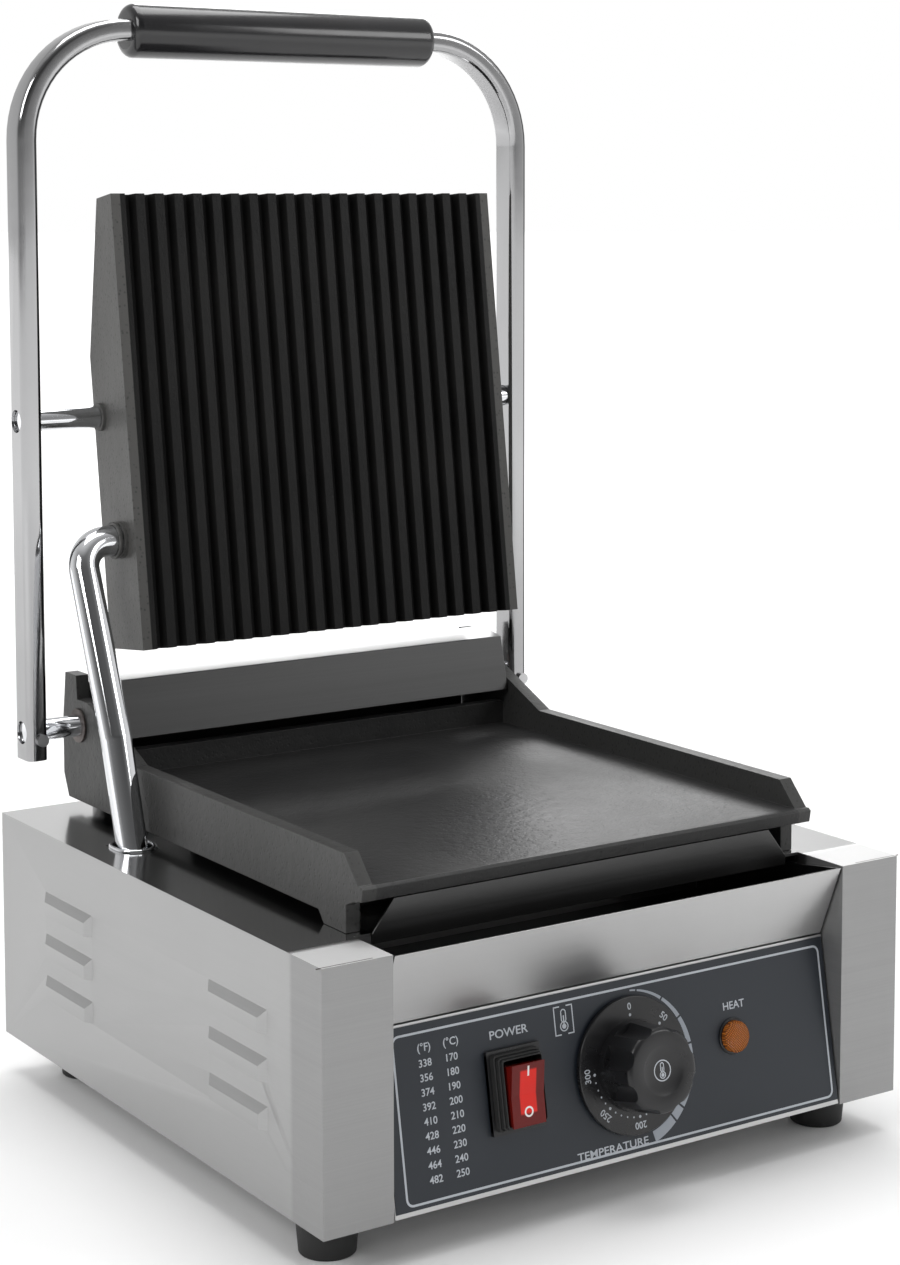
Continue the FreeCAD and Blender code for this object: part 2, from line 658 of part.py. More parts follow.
def arch_bar():
    """The handle's bar: two arms and a top, one rounded section swept round two bends."""
    body = doc.addObject("PartDesign::Body", "arch")
    path = open_sketch(body, "arch_path", "XZ_Plane")
    half, rise, tail, bend = (size(a) for a in ("arch_half", "arch_rise", "arch_tail", "arch_bend"))
    corner = [Vector(-half, -tail, 0), Vector(-half, rise - bend, 0), Vector(-half + bend, rise, 0),
              Vector(half - bend, rise, 0), Vector(half, rise - bend, 0), Vector(half, -tail, 0)]
    path.addGeometry(Part.LineSegment(corner[0], corner[1]))
    for side, first in ((-1, 1), (1, 3)):
        centre = Vector(side * (half - bend), rise - bend, 0)
        circle = Part.Circle(centre, Vector(0, 0, 1), bend)
        start, end = (math.pi / 2, math.pi) if side < 0 else (0, math.pi / 2)
        path.addGeometry(Part.ArcOfCircle(circle, start, end))
        path.addGeometry(Part.LineSegment(corner[first + 1], corner[first + 2]))
    for first, first_end, second, second_end in ((0, 2, 1, 2), (1, 1, 2, 1), (2, 2, 3, 2), (3, 1, 4, 1)):
        path.addConstraint(Sketcher.Constraint("Tangent", first, first_end, second, second_end))
    path.addConstraint(Sketcher.Constraint("Vertical", 0))
    path.addConstraint(Sketcher.Constraint("Horizontal", 2))
    path.addConstraint(Sketcher.Constraint("Vertical", 4))
    for kind, geometry, end, now, expression in (
        ("DistanceX", 0, 1, -half, "-arch_half"), ("DistanceY", 0, 1, -tail, "-arch_tail"),
        ("DistanceX", 4, 2, half, "arch_half"), ("DistanceY", 4, 2, -tail, "-arch_tail"),
        ("DistanceY", 2, 1, rise, "arch_rise"),
    ):
        index = path.addConstraint(Sketcher.Constraint(kind, -1, 1, geometry, end, now))
        bind(path, "Constraints[%d]" % index, expression)
    for arc in (1, 3):
        index = path.addConstraint(Sketcher.Constraint("Radius", arc, bend))
        bind(path, "Constraints[%d]" % index, "arch_bend")
    section = open_sketch(body, "arch_section", "XY_Plane")
    bind(section, "AttachmentOffset.Base.z", "-arch_tail")
    draw_rounded(section, "-arch_half", "arm_thick", "arm_deep", "arm_round")
    pipe = body.newObject("PartDesign::AdditivePipe", "arch_pipe")
    pipe.Profile = section
    pipe.Spine = path
    return body


def draw_rounded(sketch, centre_x, across, deep, corner):
    """A rounded rectangle about (centre_x, 0), with its sides and corners bound."""
    cx, half_x, half_y, r = value_of(centre_x), value_of(across) / 2, value_of(deep) / 2, value_of(corner)
    signs = ((1, 1), (-1, 1), (-1, -1), (1, -1))
    for i, (sx, sy) in enumerate(signs):
        centre = Vector(cx + sx * (half_x - r), sy * (half_y - r), 0)
        arc = Part.ArcOfCircle(Part.Circle(centre, Vector(0, 0, 1), r), i * math.pi / 2, (i + 1) * math.pi / 2)
        sketch.addGeometry(arc)
    for i in range(4):
        start = sketch.Geometry[i].EndPoint
        end = sketch.Geometry[(i + 1) % 4].StartPoint
        sketch.addGeometry(Part.LineSegment(start, end))
    for i in range(4):
        sketch.addConstraint(Sketcher.Constraint("Tangent", i, 2, 4 + i, 1))
        sketch.addConstraint(Sketcher.Constraint("Tangent", 4 + i, 2, (i + 1) % 4, 1))
    for i, kind in enumerate(("Horizontal", "Vertical", "Horizontal", "Vertical")):
        sketch.addConstraint(Sketcher.Constraint(kind, 4 + i))
    for i in range(1, 4):
        sketch.addConstraint(Sketcher.Constraint("Equal", 0, i))
    index = sketch.addConstraint(Sketcher.Constraint("Radius", 0, r))
    bind(sketch, "Constraints[%d]" % index, corner)
    for kind, geometry, now, expression in (
        ("DistanceX", 7, cx + half_x, "%s + %s / 2" % (centre_x, across)),
        ("DistanceX", 5, cx - half_x, "%s - %s / 2" % (centre_x, across)),
        ("DistanceY", 4, half_y, "%s / 2" % deep), ("DistanceY", 6, -half_y, "-%s / 2" % deep),
    ):
        index = sketch.addConstraint(Sketcher.Constraint(kind, -1, 1, geometry, 1, now))
        bind(sketch, "Constraints[%d]" % index, expression)


def handle():
    """The arch with its bores, the grip, the shaft it turns on, and its locking screws."""
    bar = arch_bar()
    bores = [rod("arm_shaft_bore", "shaft_radius", "2 * arch_half + 30", ("-arch_half - 15", "0", "0"), "x"),
             rod("arm_pin_bore", "pin_radius + running", "2 * arch_half + 30",
                 ("-arch_half - 15", "0", "pin_rise"), "x")]
    lock_places = ["%s * arch_half + lock_offset" % side for side in ("-1", "1")]
    lock_reach = "(arm_deep / 2 + 1 - shaft_radius - running)"
    bores += [rod("lock_bore_%d" % i, "lock_head_radius / 2 + running", lock_reach + " + 1",
                  (x, "-arm_deep / 2 - 1", "-lock_drop"), "y") for i, x in enumerate(lock_places)]
    on_handle(keep(cut("arch_cut", bar, *bores), "handle_arch"))
    grip = rod("grip_rod", "grip_radius", "grip_length", ("-grip_length / 2", "0", "arch_rise"), "x")
    channel = box("grip_channel", ("grip_length + 2", "arm_deep + 0.1", "arm_thick + 0.1"),
                  ("-grip_length / 2 - 1", "-arm_deep / 2 - 0.05", "arch_rise - arm_thick / 2 - 0.05"))
    on_handle(keep(cut("grip_cut", grip, channel), "grip"))
    reach = "arch_half + arm_thick / 2 - 1"
    shaft = rod("shaft", "shaft_radius", "2 * (%s)" % reach, ("-(%s)" % reach, "0", "0"), "x")
    on_handle(keep(group("shaft_group", shaft), "pivot_shaft"))
    screws = []
    for i, x in enumerate(lock_places):
        head = rod("lock_head_%d" % i, "lock_head_radius", "2", (x, "-arm_deep / 2 - 2", "-lock_drop"), "y")
        shank = rod("lock_shank_%d" % i, "lock_head_radius / 2", lock_reach,
                    (x, "-arm_deep / 2 - 1", "-lock_drop"), "y")
        screws.append(fuse("lock_screw_%d" % i, head, shank))
    on_handle(keep(group("lock_screws_group", *screws), "lock_screws"))


def on_plate(item):
    """Stand an item, drawn upright round the cross pins' axis, on the leaning upper griddle."""
    return place(item, ("0", PIVOT_Y, PIN_Z), "-plate_lean")


BACK_FACE = "(pin_depth - cover_sheet)"
TIPS = "(pin_depth - plate_thick)"


def plate_profile():
    """The upper casting's side view: a thin nose at the front that thickens to full depth."""
    return [(TIPS, "-pin_to_back"), (TIPS, "pin_to_front"),
            (TIPS + " + plate_nose", "pin_to_front"), (BACK_FACE, "plate_full_at"),
            (BACK_FACE, "-pin_to_back")]


def upper_griddle():
    """The ribbed casting, hollow behind, with drafted sides and a boss for each pin."""
    body = doc.addObject("PartDesign::Body", "plate")
    pad(body, outline(body, "plate_outline", "YZ_Plane", plate_profile()), "2 * plate_half", name="plate_pad")
    groove = outline(body, "groove_outline", "XY_Plane", [
        ("-plate_half + 2 * plate_half / rib_count - rib_mouth / 2", TIPS + " - 0.1"),
        ("-plate_half + 2 * plate_half / rib_count + rib_mouth / 2", TIPS + " - 0.1"),
        ("-plate_half + 2 * plate_half / rib_count + rib_floor / 2", TIPS + " + rib_depth"),
        ("-plate_half + 2 * plate_half / rib_count - rib_floor / 2", TIPS + " + rib_depth"),
    ])
    pocket = body.newObject("PartDesign::Pocket", "groove")
    pocket.Profile = groove
    pocket.Type = "ThroughAll"
    pocket.Midplane = True
    doc.recompute()
    pattern = body.newObject("PartDesign::LinearPattern", "grooves")
    pattern.Originals = [pocket]
    pattern.Direction = (groove, ["H_Axis"])
    bind(pattern, "Length", "2 * plate_half - 4 * plate_half / rib_count")
    bind(pattern, "Occurrences", "rib_count - 1")
    body.Tip = pattern
    sides = []
    for name, side in (("left", "-1"), ("right", "1")):
        wedge = doc.addObject("PartDesign::Body", "draft_" + name)
        sketch = outline(wedge, "draft_outline_" + name, "XY_Plane", [
            (side + " * plate_half", TIPS), (side + " * (plate_half - plate_draft)", "pin_depth"),
            (side + " * (plate_half + 5)", "pin_depth"), (side + " * (plate_half + 5)", TIPS),
        ])
        pad(wedge, sketch, "2 * pin_to_back + 20", name="draft_pad_" + name)
        sides.append(wedge)
    hollow = prism("plate_hollow", "YZ_Plane", [
        (TIPS + " + plate_floor", "-pin_to_back + plate_wall"), (TIPS + " + plate_floor", "plate_full_at + 30"),
        (BACK_FACE + " + 0.1", "plate_full_at - 4"), (BACK_FACE + " + 0.1", "-pin_to_back + plate_wall"),
    ], "2 * (plate_half - plate_draft - plate_wall)")
    bosses = [rod("plate_boss_" + name, "boss_radius", "plate_wall + 12", (x, "0", "0"), "x")
              for name, x in (("left", "-plate_half + 2.5 - boss_proud"),
                              ("right", "plate_half - 2.5 + boss_proud - plate_wall - 12"))]
    tube_boss = rod("tube_boss", "tube_radius + 1.5", "plate_wall + 8",
                    ("-plate_half + 1 - boss_proud", TIPS + " + tube_back_of_tips", "tube_from_back - pin_to_back"),
                    "x")
    pin_bores = [rod("plate_bore_" + name, "pin_radius - 1", "plate_wall + 14", (x, "0", "0"), "x")
                 for name, x in (("left", "-plate_half - 3"), ("right", "plate_half + 3 - plate_wall - 14"))]
    tube_bore = rod("tube_boss_bore", "tube_radius + running", "plate_wall + 14",
                    ("-plate_half - 4", TIPS + " + tube_back_of_tips", "tube_from_back - pin_to_back"), "x")
    drafted = cut("plate_drafted", body, hollow, *sides)
    solid = fuse("plate_solid", drafted, *bosses, tube_boss)
    return on_plate(keep(cut("plate_cut", solid, *pin_bores, tube_bore), "upper_griddle"))


def upper_cover():
    """The bent sheet that closes the upper casting's back, and its six screws."""
    cover = prism("top_cover", "YZ_Plane", [
        (BACK_FACE, "-pin_to_back + 1"), (BACK_FACE, "plate_full_at"),
        (TIPS + " + plate_nose + 2", "pin_to_front - 6"),
        (TIPS + " + plate_nose + 3.5", "pin_to_front - 6"),
        (BACK_FACE + " + cover_sheet", "plate_full_at + 0.6"), (BACK_FACE + " + cover_sheet", "-pin_to_back + 1"),
    ], "2 * (plate_half - plate_draft) - 2")
    on_plate(keep(cover, "upper_cover"))
    heads = [rod("top_head_%d" % i, "screw_head", "1.6", (x, BACK_FACE + " + cover_sheet", z), "y")
             for i, (x, z) in enumerate([(x, z) for x in ("-plate_half + 9", "plate_half - 9")
                                         for z in ("-pin_to_back + 8", "plate_full_at - 18")])]
    on_plate(keep(group("top_screws", *heads), "upper_cover_screws"))


def cross_pins():
    """The two shouldered pins the upper griddle hangs on."""
    pins = []
    reach = "(arch_half + arm_thick / 2 - 1.5)"
    for i, side in enumerate((-1, 1)):
        outer = "%d * %s - arch_shift" % (side, reach)
        seat = "%d * (plate_half - 2.5 + boss_proud)" % side
        start = outer if side < 0 else seat
        stop = seat if side < 0 else outer
        body = rod("pin_body_%d" % i, "pin_radius", "(%s) - (%s)" % (stop, start), (start, "0", "0"), "x")
        thread_at = seat if side < 0 else seat + " - plate_wall - 4"
        thread = rod("pin_thread_%d" % i, "pin_radius - 1", "plate_wall + 4", (thread_at, "0", "0"), "x")
        pins.append(fuse("pin_%d" % i, body, thread))
    on_plate(keep(group("pins", *pins), "cross_pins"))


def upper_element():
    """The upper heating element on the casting's floor, under a mat of insulation."""
    depth = value_of(TIPS) + size("plate_floor") + size("element_radius") + 0.1
    flat = element_route(size("element_half"), -85.0, 40.0, 0.0)
    route = [Vector(p.x, depth, p.y) for p in flat]
    on_plate(keep(feature("upper_heater", bent_tube(route, size("element_radius"), 12.0)), "upper_element"))
    mat_half = "(plate_half - plate_wall - 13.5)"
    mat = box("mat", ("2 * " + mat_half, "6", "124"),
              ("-" + mat_half, TIPS + " + plate_floor + 2 * element_radius + 0.6", "-88"))
    on_plate(keep(group("mat_group", mat), "insulation_mat"))


def conduit():
    """The bent steel tube that carries the upper element's leads down into the body."""
    lean = math.radians(size("plate_lean"))
    local_y = size("tube_back_of_tips") + value_of(TIPS)
    local_z = size("tube_from_back") - size("pin_to_back")
    top_y = value_of(PIVOT_Y) + local_y * math.cos(lean) + local_z * math.sin(lean)
    top_z = value_of(PIN_Z) - local_y * math.sin(lean) + local_z * math.cos(lean)
    hole = Vector(-size("tube_out"), size("tube_hole_at"), value_of(BODY_TOP))
    top = Vector(-size("tube_out"), top_y, top_z)
    run = (hole - top).normalize()
    knee = top + (hole - top) * 0.645 + Vector(0, -3.4, 0)
    tail = hole + run * size("tube_end")
    start = Vector(-size("plate_half") + size("plate_wall"), top_y, top_z)
    route = [start, top, knee, tail]
    tube = bent_tube(route, size("tube_radius"), size("tube_bend"), size("tube_bore"))
    keep(feature("tube", tube), "conduit_tube")
    ring = Part.makeCylinder(size("tube_radius") + 1.6, 1.4, Vector(start.x - 9.5, top_y, top_z), Vector(1, 0, 0))
    hole_in_ring = Part.makeCylinder(size("tube_radius"), 4, Vector(start.x - 11, top_y, top_z), Vector(1, 0, 0))
    keep(feature("tube_ring", ring.cut(hole_in_ring)), "conduit_collar")


def tube_grommet():
    """The bright rim round the slot that the conduit slides through."""
    start = "tube_hole_at - tube_trail - tube_radius - tube_slack"
    plate = box("rim", ("2 * tube_radius + 8", "2 * tube_radius + 2 * tube_slack + 5", "1.4"),
                ("-tube_out - tube_radius - 4", start + " - 2.5", BODY_TOP))
    opening = box("rim_hole", ("2 * tube_radius + 3", "2 * tube_radius + 2 * tube_slack", "6"),
                  ("-tube_out - tube_radius - 1.5", start, BODY_TOP + " - 2"))
    return keep(cut("rim_cut", plate, opening), "tube_grommet")


def knob_and_thermostat():
    """The fluted knob on its printed skirt, the spindle, and the thermostat behind the panel."""
    base = "-(overlay + 0.5)"
    skirt_face = "(overlay + 0.5 + skirt_thick)"
    skirt = rod("skirt", "skirt_radius", "skirt_thick", ("knob_x", base + " - skirt_thick", "-knob_down"), "y")
    skirt_bore = rod("skirt_bore", "spindle_radius", "10", ("knob_x", "-6", "-knob_down"), "y")
    on_panel(keep(cut("skirt_cut", skirt, skirt_bore), "dial_skirt"))
    grip = cone("knob_cone", "knob_radius - 1.2", "knob_radius", "knob_height",
                ("knob_x", "-%s - knob_height" % skirt_face, "-knob_down"), "y")
    flutes = []
    count = 8
    for i in range(count):
        angle = math.radians(360 / count * (i + 0.5))
        flutes.append(rod("flute_%d" % i, "4.2", "knob_height - 5",
                          ("knob_x + (knob_radius + 2.6) * %r" % math.sin(angle),
                           "-%s - knob_height - 0.1" % skirt_face,
                           "-knob_down + (knob_radius + 2.6) * %r" % math.cos(angle)), "y"))
    knob_bore = rod("knob_bore", "spindle_radius", "14", ("knob_x", "-%s - 12" % skirt_face, "-knob_down"), "y")
    on_panel(keep(cut("knob_cut", grip, knob_bore, *flutes), "temperature_knob"))
    spindle = rod("spindle", "spindle_radius", "24", ("knob_x", "-%s - 11.5" % skirt_face, "-knob_down"), "y")
    on_panel(keep(group("spindle_group", spindle), "thermostat_spindle"))
    case = box("case", ("38", "22", "34"), ("knob_x - 19", "sheet + 0.2", "-knob_down - 17"))
    sleeve = rod("case_sleeve", "spindle_radius + 2", "4", ("knob_x", "-overlay - 0.1", "-knob_down"), "y")
    case_bore = rod("case_bore", "spindle_radius + running", "20", ("knob_x", "-4", "-knob_down"), "y")
    on_panel(keep(cut("case_cut", fuse("case_solid", case, sleeve), case_bore), "thermostat_body"))


def sensor_line():
    """The thermostat's capillary and the bulb clipped under the lower griddle."""
    knob_x, side, back = size("knob_x"), size("lead_side"), size("lead_back")
    low = size("foot_height") + 40.0
    high = value_of(BODY_TOP) + 3.0
    route = [Vector(knob_x, value_of(PANEL_Y) + 30.0, low), Vector(knob_x, -30.0, low), Vector(side, back, low),
             Vector(side, back, high), Vector(side, back - 20.0, high)]
    line = bent_tube(route, 0.9, 5.0)
    bulb = Part.makeCylinder(2.6, 60.0, route[-1], Vector(0, -1, 0))
    return keep(feature("capillary", line.fuse(bulb)), "sensor_line")


def rocker_switch():
    """The switch: its housing through the panel, the rubber frame, and the red rocker."""
    x, z = "switch_x", "-switch_down"
    flange = box("flange", ("switch_width", "switch_flange", "switch_tall"),
                 ("switch_x - switch_width / 2", "-overlay - switch_flange", z + " - switch_tall / 2"))
    case = box("switch_case", ("switch_width - 3.4", "26", "switch_tall - 3.4"),
               ("switch_x - switch_width / 2 + 1.7", "-overlay - 1", z + " - switch_tall / 2 + 1.7"))
    window_side, window_foot = "switch_x - rocker_width / 2 - 0.5", z + " - rocker_tall / 2 - 1.5"
    window = box("switch_window", ("rocker_width + 1", "7", "rocker_tall + 3"),
                 (window_side, "-overlay - switch_flange - 1", window_foot))
    axle_bores = [rod(name, "axle_radius + running", "rocker_width + 4.4",
                      ("switch_x - rocker_width / 2 - 2.2", "-axle_out", z), "x")
                  for name in ("housing_axle_bore", "boot_axle_bore")]
    on_panel(keep(cut("switch_cut", fuse("switch_solid", flange, case), window, axle_bores[0]), "switch_housing"))
    frame = box("boot_outer", ("switch_width - 3", "boot_rise", "switch_tall - 1.5"),
                ("switch_x - switch_width / 2 + 1.5", "-overlay - switch_flange - boot_rise",
                 z + " - switch_tall / 2 + 0.75"))
    opening = box("boot_opening", ("rocker_width + 1", "boot_rise + 4", "rocker_tall + 3"),
                  (window_side, "-overlay - switch_flange - boot_rise - 2", window_foot))
    on_panel(keep(cut("boot_cut", frame, opening, axle_bores[1]), "switch_boot"))


def rocker():
    """The red rocker, drawn round its own axle and stood tipped towards off."""
    body = prism("rocker_body", "YZ_Plane", [
        ("2", "-rocker_tall / 2 + 3"), ("-boot_rise - 3", "-rocker_tall / 2"), ("-boot_rise - 1.8", "0"),
        ("-boot_rise - 3", "rocker_tall / 2"), ("2", "rocker_tall / 2 - 3"),
    ], "rocker_width")
    axle = rod("rocker_axle", "axle_radius", "rocker_width + 4", ("-rocker_width / 2 - 2", "0", "0"), "x")
    solid = keep(fuse("rocker_solid", body, axle), "rocker")
    return place(solid, ("switch_x", PANEL_Y + " - switch_down * sin(panel_lean) - axle_out * cos(panel_lean)",
                         PANEL_Z + " - switch_down * cos(panel_lean) + axle_out * sin(panel_lean)"),
                 "-panel_lean + rocker_tip")


def lamp():
    """The amber indicator: the lens in front and its holder behind."""
    lens = rod("lens", "lamp_radius", "lamp_proud - 1", ("lamp_x", "-overlay - lamp_proud", "-lamp_down"), "y")
    rim = rod("lens_rim", "lamp_radius + 1", "1", ("lamp_x", "-overlay - 1", "-lamp_down"), "y")
    stem = rod("lens_stem", "lamp_radius - 1.6", "4", ("lamp_x", "-overlay - 1", "-lamp_down"), "y")
    on_panel(keep(fuse("lens_solid", lens, rim, stem), "lamp_lens"))
    holder = rod("holder", "lamp_radius - 0.5", "18", ("lamp_x", "sheet + 1.6", "-lamp_down"), "y")
    on_panel(keep(group("holder_group", holder), "lamp_holder"))


def terminal_block():
    """The mains terminal block on the bottom plate."""
    base = box("block", ("44", "20", "14"), ("40", "70", "foot_height + sheet + 0.1"))
    slots = [rod("block_hole_%d" % i, "2.4", "12", ("%d" % x, "80", "foot_height + 6")) for i, x in
             enumerate((48, 57, 66, 75))]
    return keep(cut("block_cut", base, *slots), "terminal_block")


def centre_over_origin():
    """Stand every sub-part further back, so that Z goes through the middle of the overall box."""
    for item in subparts:
        bound = {name.lstrip("."): expression for name, expression in item.ExpressionEngine}
        now = bound.get("Placement.Base.y", "0")
        item.setExpression("Placement.Base.y", "%s + Sizes.setback" % now)


def build():
    """Every sub-part of the grill."""
    body_shell()
    bottom_plate()
    feet()
    back_panel()
    cord_gland()
    control_panel()
    tray_shelf()
    drip_tray()
    splash_plate()
    lower_griddle()
    griddle_spacers()
    shaft_bushes()
    rear_cover()
    lower_element()
    counter_springs()
    handle()
    upper_griddle()
    upper_cover()
    cross_pins()
    upper_element()
    conduit()
    tube_grommet()
    knob_and_thermostat()
    sensor_line()
    rocker_switch()
    rocker()
    lamp()
    terminal_block()
    centre_over_origin()
    doc.recompute()


def check_and_export():
    """Stop on any failed object or bad shape, then write one STEP file for each sub-part."""
    for item in doc.Objects:
        if "Invalid" in item.State or "Error" in item.State:
            raise RuntimeError("%s is in state %s" % (item.Name, item.State))
    for item in subparts:
        if item.Shape.isNull() or not item.Shape.isValid() or item.Shape.Volume <= 0:
            raise RuntimeError("%s has no valid solid" % item.Label)
    os.makedirs("parts", exist_ok=True)
    for item in subparts:
        item.Shape.exportStep("parts/%s.step" % item.Label)
        print("%-22s %3d solids %12.1f mm3" % (item.Label, len(item.Shape.Solids), item.Shape.Volume))


build()
check_and_export()
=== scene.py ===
import json
import math
import bmesh
import bpy
from mathutils import Euler, Matrix, Vector


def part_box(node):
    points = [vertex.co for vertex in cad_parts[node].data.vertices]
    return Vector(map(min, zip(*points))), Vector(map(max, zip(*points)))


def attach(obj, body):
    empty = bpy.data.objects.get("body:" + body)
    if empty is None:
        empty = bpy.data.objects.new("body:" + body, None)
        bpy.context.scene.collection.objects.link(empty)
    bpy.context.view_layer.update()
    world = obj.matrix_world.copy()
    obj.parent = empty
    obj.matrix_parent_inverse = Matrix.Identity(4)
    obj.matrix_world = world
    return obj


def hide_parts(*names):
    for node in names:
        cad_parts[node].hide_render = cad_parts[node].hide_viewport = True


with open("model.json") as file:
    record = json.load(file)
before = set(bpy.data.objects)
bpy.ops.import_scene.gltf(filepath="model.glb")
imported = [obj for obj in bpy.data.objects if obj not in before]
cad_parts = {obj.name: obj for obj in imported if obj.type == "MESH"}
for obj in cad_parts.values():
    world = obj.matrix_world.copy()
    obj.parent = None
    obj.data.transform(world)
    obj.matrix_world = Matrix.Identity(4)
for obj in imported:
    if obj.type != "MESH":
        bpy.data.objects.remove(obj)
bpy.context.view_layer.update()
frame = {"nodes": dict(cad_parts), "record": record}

cadNodes = frame["nodes"]
bodyOfNode = {node: body for body, nodes in frame["record"]["behaviour"]["bodies"].items() for node in nodes}
slotOfNode = {part["node"]: part["material_slot"] for part in frame["record"]["subparts"]}
mm = 0.001
print("frame loaded:", len(cadNodes), "nodes")

# camera and studio

cameraSet = {
    "place": (-0.6144, -0.9273, 0.4083),
    "pitch": 84.532,
    "yaw": -33.682,
    "roll": -0.097,
    "lens": 72.04,  # on a 36 mm sensor, along the longer side
    "shiftY": -0.1522,
}
camera = bpy.data.objects.new("camera", bpy.data.cameras.new("camera"))
bpy.context.scene.collection.objects.link(camera)
camera.data.sensor_width = 36
camera.data.lens = cameraSet["lens"]
camera.data.shift_y = cameraSet["shiftY"]
camera.data.clip_end = 30
turn = Euler((math.radians(cameraSet["pitch"]), 0, math.radians(cameraSet["yaw"]))).to_matrix().to_4x4()
camera.matrix_world = (Matrix.Translation(cameraSet["place"]) @ turn
                       @ Matrix.Rotation(math.radians(cameraSet["roll"]), 4, "Z"))
bpy.context.scene.camera = camera

lightSet = {  # place, aims at, size, watts
    "keyLeft": ((-1.9, -0.5, 1.5), (0.0, 0.0, 0.15), 1.0, 18.0),
    "frontRight": ((1.5, -1.7, 1.3), (0.0, 0.0, 0.1), 0.8, 9.0),
    "overhead": ((0.1, 0.3, 2.2), (0.0, 0.0, 0.1), 1.5, 30.0),
    "backRim": ((1.1, 1.6, 1.3), (0.0, 0.0, 0.2), 0.9, 10.0),
}
for lightName, (place, aim, span, watts) in lightSet.items():
    lamp = bpy.data.lights.new(lightName, "AREA")
    lamp.shape = "SQUARE"
    lamp.size = span
    lamp.energy = watts
    lampObject = bpy.data.objects.new(lightName, lamp)
    bpy.context.scene.collection.objects.link(lampObject)
    lampObject.location = place
    lampObject.rotation_euler = (Vector(aim) - Vector(place)).to_track_quat("-Z", "Y").to_euler()

world = bpy.data.worlds.new("studio")
bpy.context.scene.world = world
world.use_nodes = True
worldNodes, worldLinks = world.node_tree.nodes, world.node_tree.links
worldSet = {
    "frontward": (-0.555, -0.832, 0.0),  # from the object towards the front of the room
    "backTones": ((0.0, 0.85), (0.25, 0.8), (0.7, 0.55), (1.0, 0.75)),  # by height, from the horizon up
    "frontTones": ((0.0, 0.42), (0.12, 0.2), (0.4, 0.07), (0.75, 0.16), (1.0, 0.75)),
    "turn": (-0.1, 0.75),  # where the back tones give way to the front ones
    "seen": 1.0,
}
worldPlace = worldNodes.new("ShaderNodeTexCoord").outputs["Generated"]
worldSplit = worldNodes.new("ShaderNodeSeparateXYZ")
worldLinks.new(worldPlace, worldSplit.inputs[0])


def toneRamp(tones):
    ramp = worldNodes.new("ShaderNodeValToRGB")
    worldLinks.new(worldSplit.outputs["Z"], ramp.inputs[0])
    while len(ramp.color_ramp.elements) < len(tones):
        ramp.color_ramp.elements.new(0.5)
    for stop, (height, tone) in zip(ramp.color_ramp.elements, tones):
        stop.position = height
        stop.color = (tone, tone, tone, 1)
    return ramp.outputs["Color"]


frontDot = worldNodes.new("ShaderNodeVectorMath")
frontDot.operation = "DOT_PRODUCT"
worldLinks.new(worldPlace, frontDot.inputs[0])
frontDot.inputs[1].default_value = worldSet["frontward"]
frontShare = worldNodes.new("ShaderNodeMapRange")
frontShare.interpolation_type = "SMOOTHSTEP"
worldLinks.new(frontDot.outputs["Value"], frontShare.inputs["Value"])
frontShare.inputs["From Min"].default_value = worldSet["turn"][0]
frontShare.inputs["From Max"].default_value = worldSet["turn"][1]
worldMix = worldNodes.new("ShaderNodeMix")
worldMix.data_type = "RGBA"
worldLinks.new(frontShare.outputs["Result"], worldMix.inputs["Factor"])
worldLinks.new(toneRamp(worldSet["backTones"]), worldMix.inputs["A"])
worldLinks.new(toneRamp(worldSet["frontTones"]), worldMix.inputs["B"])
seenMix = worldNodes.new("ShaderNodeMix")
seenMix.data_type = "RGBA"
worldLinks.new(worldNodes.new("ShaderNodeLightPath").outputs["Is Camera Ray"], seenMix.inputs["Factor"])
worldLinks.new(worldMix.outputs["Result"], seenMix.inputs["A"])
seenMix.inputs["B"].default_value = (worldSet["seen"], worldSet["seen"], worldSet["seen"], 1)
worldLinks.new(seenMix.outputs["Result"], worldNodes["Background"].inputs["Color"])
worldNodes["Background"].inputs["Strength"].default_value = 1.0
print("camera and lights placed")


# shader groups that several finishes share

def newGroup(name, inputs, outputs):
    tree = bpy.data.node_groups.new(name, "ShaderNodeTree")
    for socketName, kind, value in inputs:
        socket = tree.interface.new_socket(socketName, in_out="INPUT", socket_type=kind)
        socket.default_value = value
    for socketName, kind in outputs:
        tree.interface.new_socket(socketName, in_out="OUTPUT", socket_type=kind)
    return tree, tree.nodes.new("NodeGroupInput"), tree.nodes.new("NodeGroupOutput")


def noiseNode(tree, vector, scale, detail=3.0, roughness=0.5):
    noise = tree.nodes.new("ShaderNodeTexNoise")
    tree.links.new(vector, noise.inputs["Vector"])
    if isinstance(scale, (int, float)):
        noise.inputs["Scale"].default_value = scale
    else:
        tree.links.new(scale, noise.inputs["Scale"])
    noise.inputs["Detail"].default_value = detail
    noise.inputs["Roughness"].default_value = roughness
    return noise.outputs["Fac"]


def mathNode(tree, operation, first, second=None):
    node = tree.nodes.new("ShaderNodeMath")
    node.operation = operation
    for socket, value in zip(node.inputs, (first, second)):
        if value is None:
            continue
        if isinstance(value, (int, float)):
            socket.default_value = value
        else:
            tree.links.new(value, socket)
    return node.outputs[0]


def rangeNode(tree, value, fromMin, fromMax, toMin, toMax):
    node = tree.nodes.new("ShaderNodeMapRange")
    tree.links.new(value, node.inputs["Value"])
    ends = {"From Min": fromMin, "From Max": fromMax, "To Min": toMin, "To Max": toMax}
    for socketName, number in ends.items():
        if isinstance(number, (int, float)):
            node.inputs[socketName].default_value = number
        else:
            tree.links.new(number, node.inputs[socketName])
    return node.outputs["Result"]


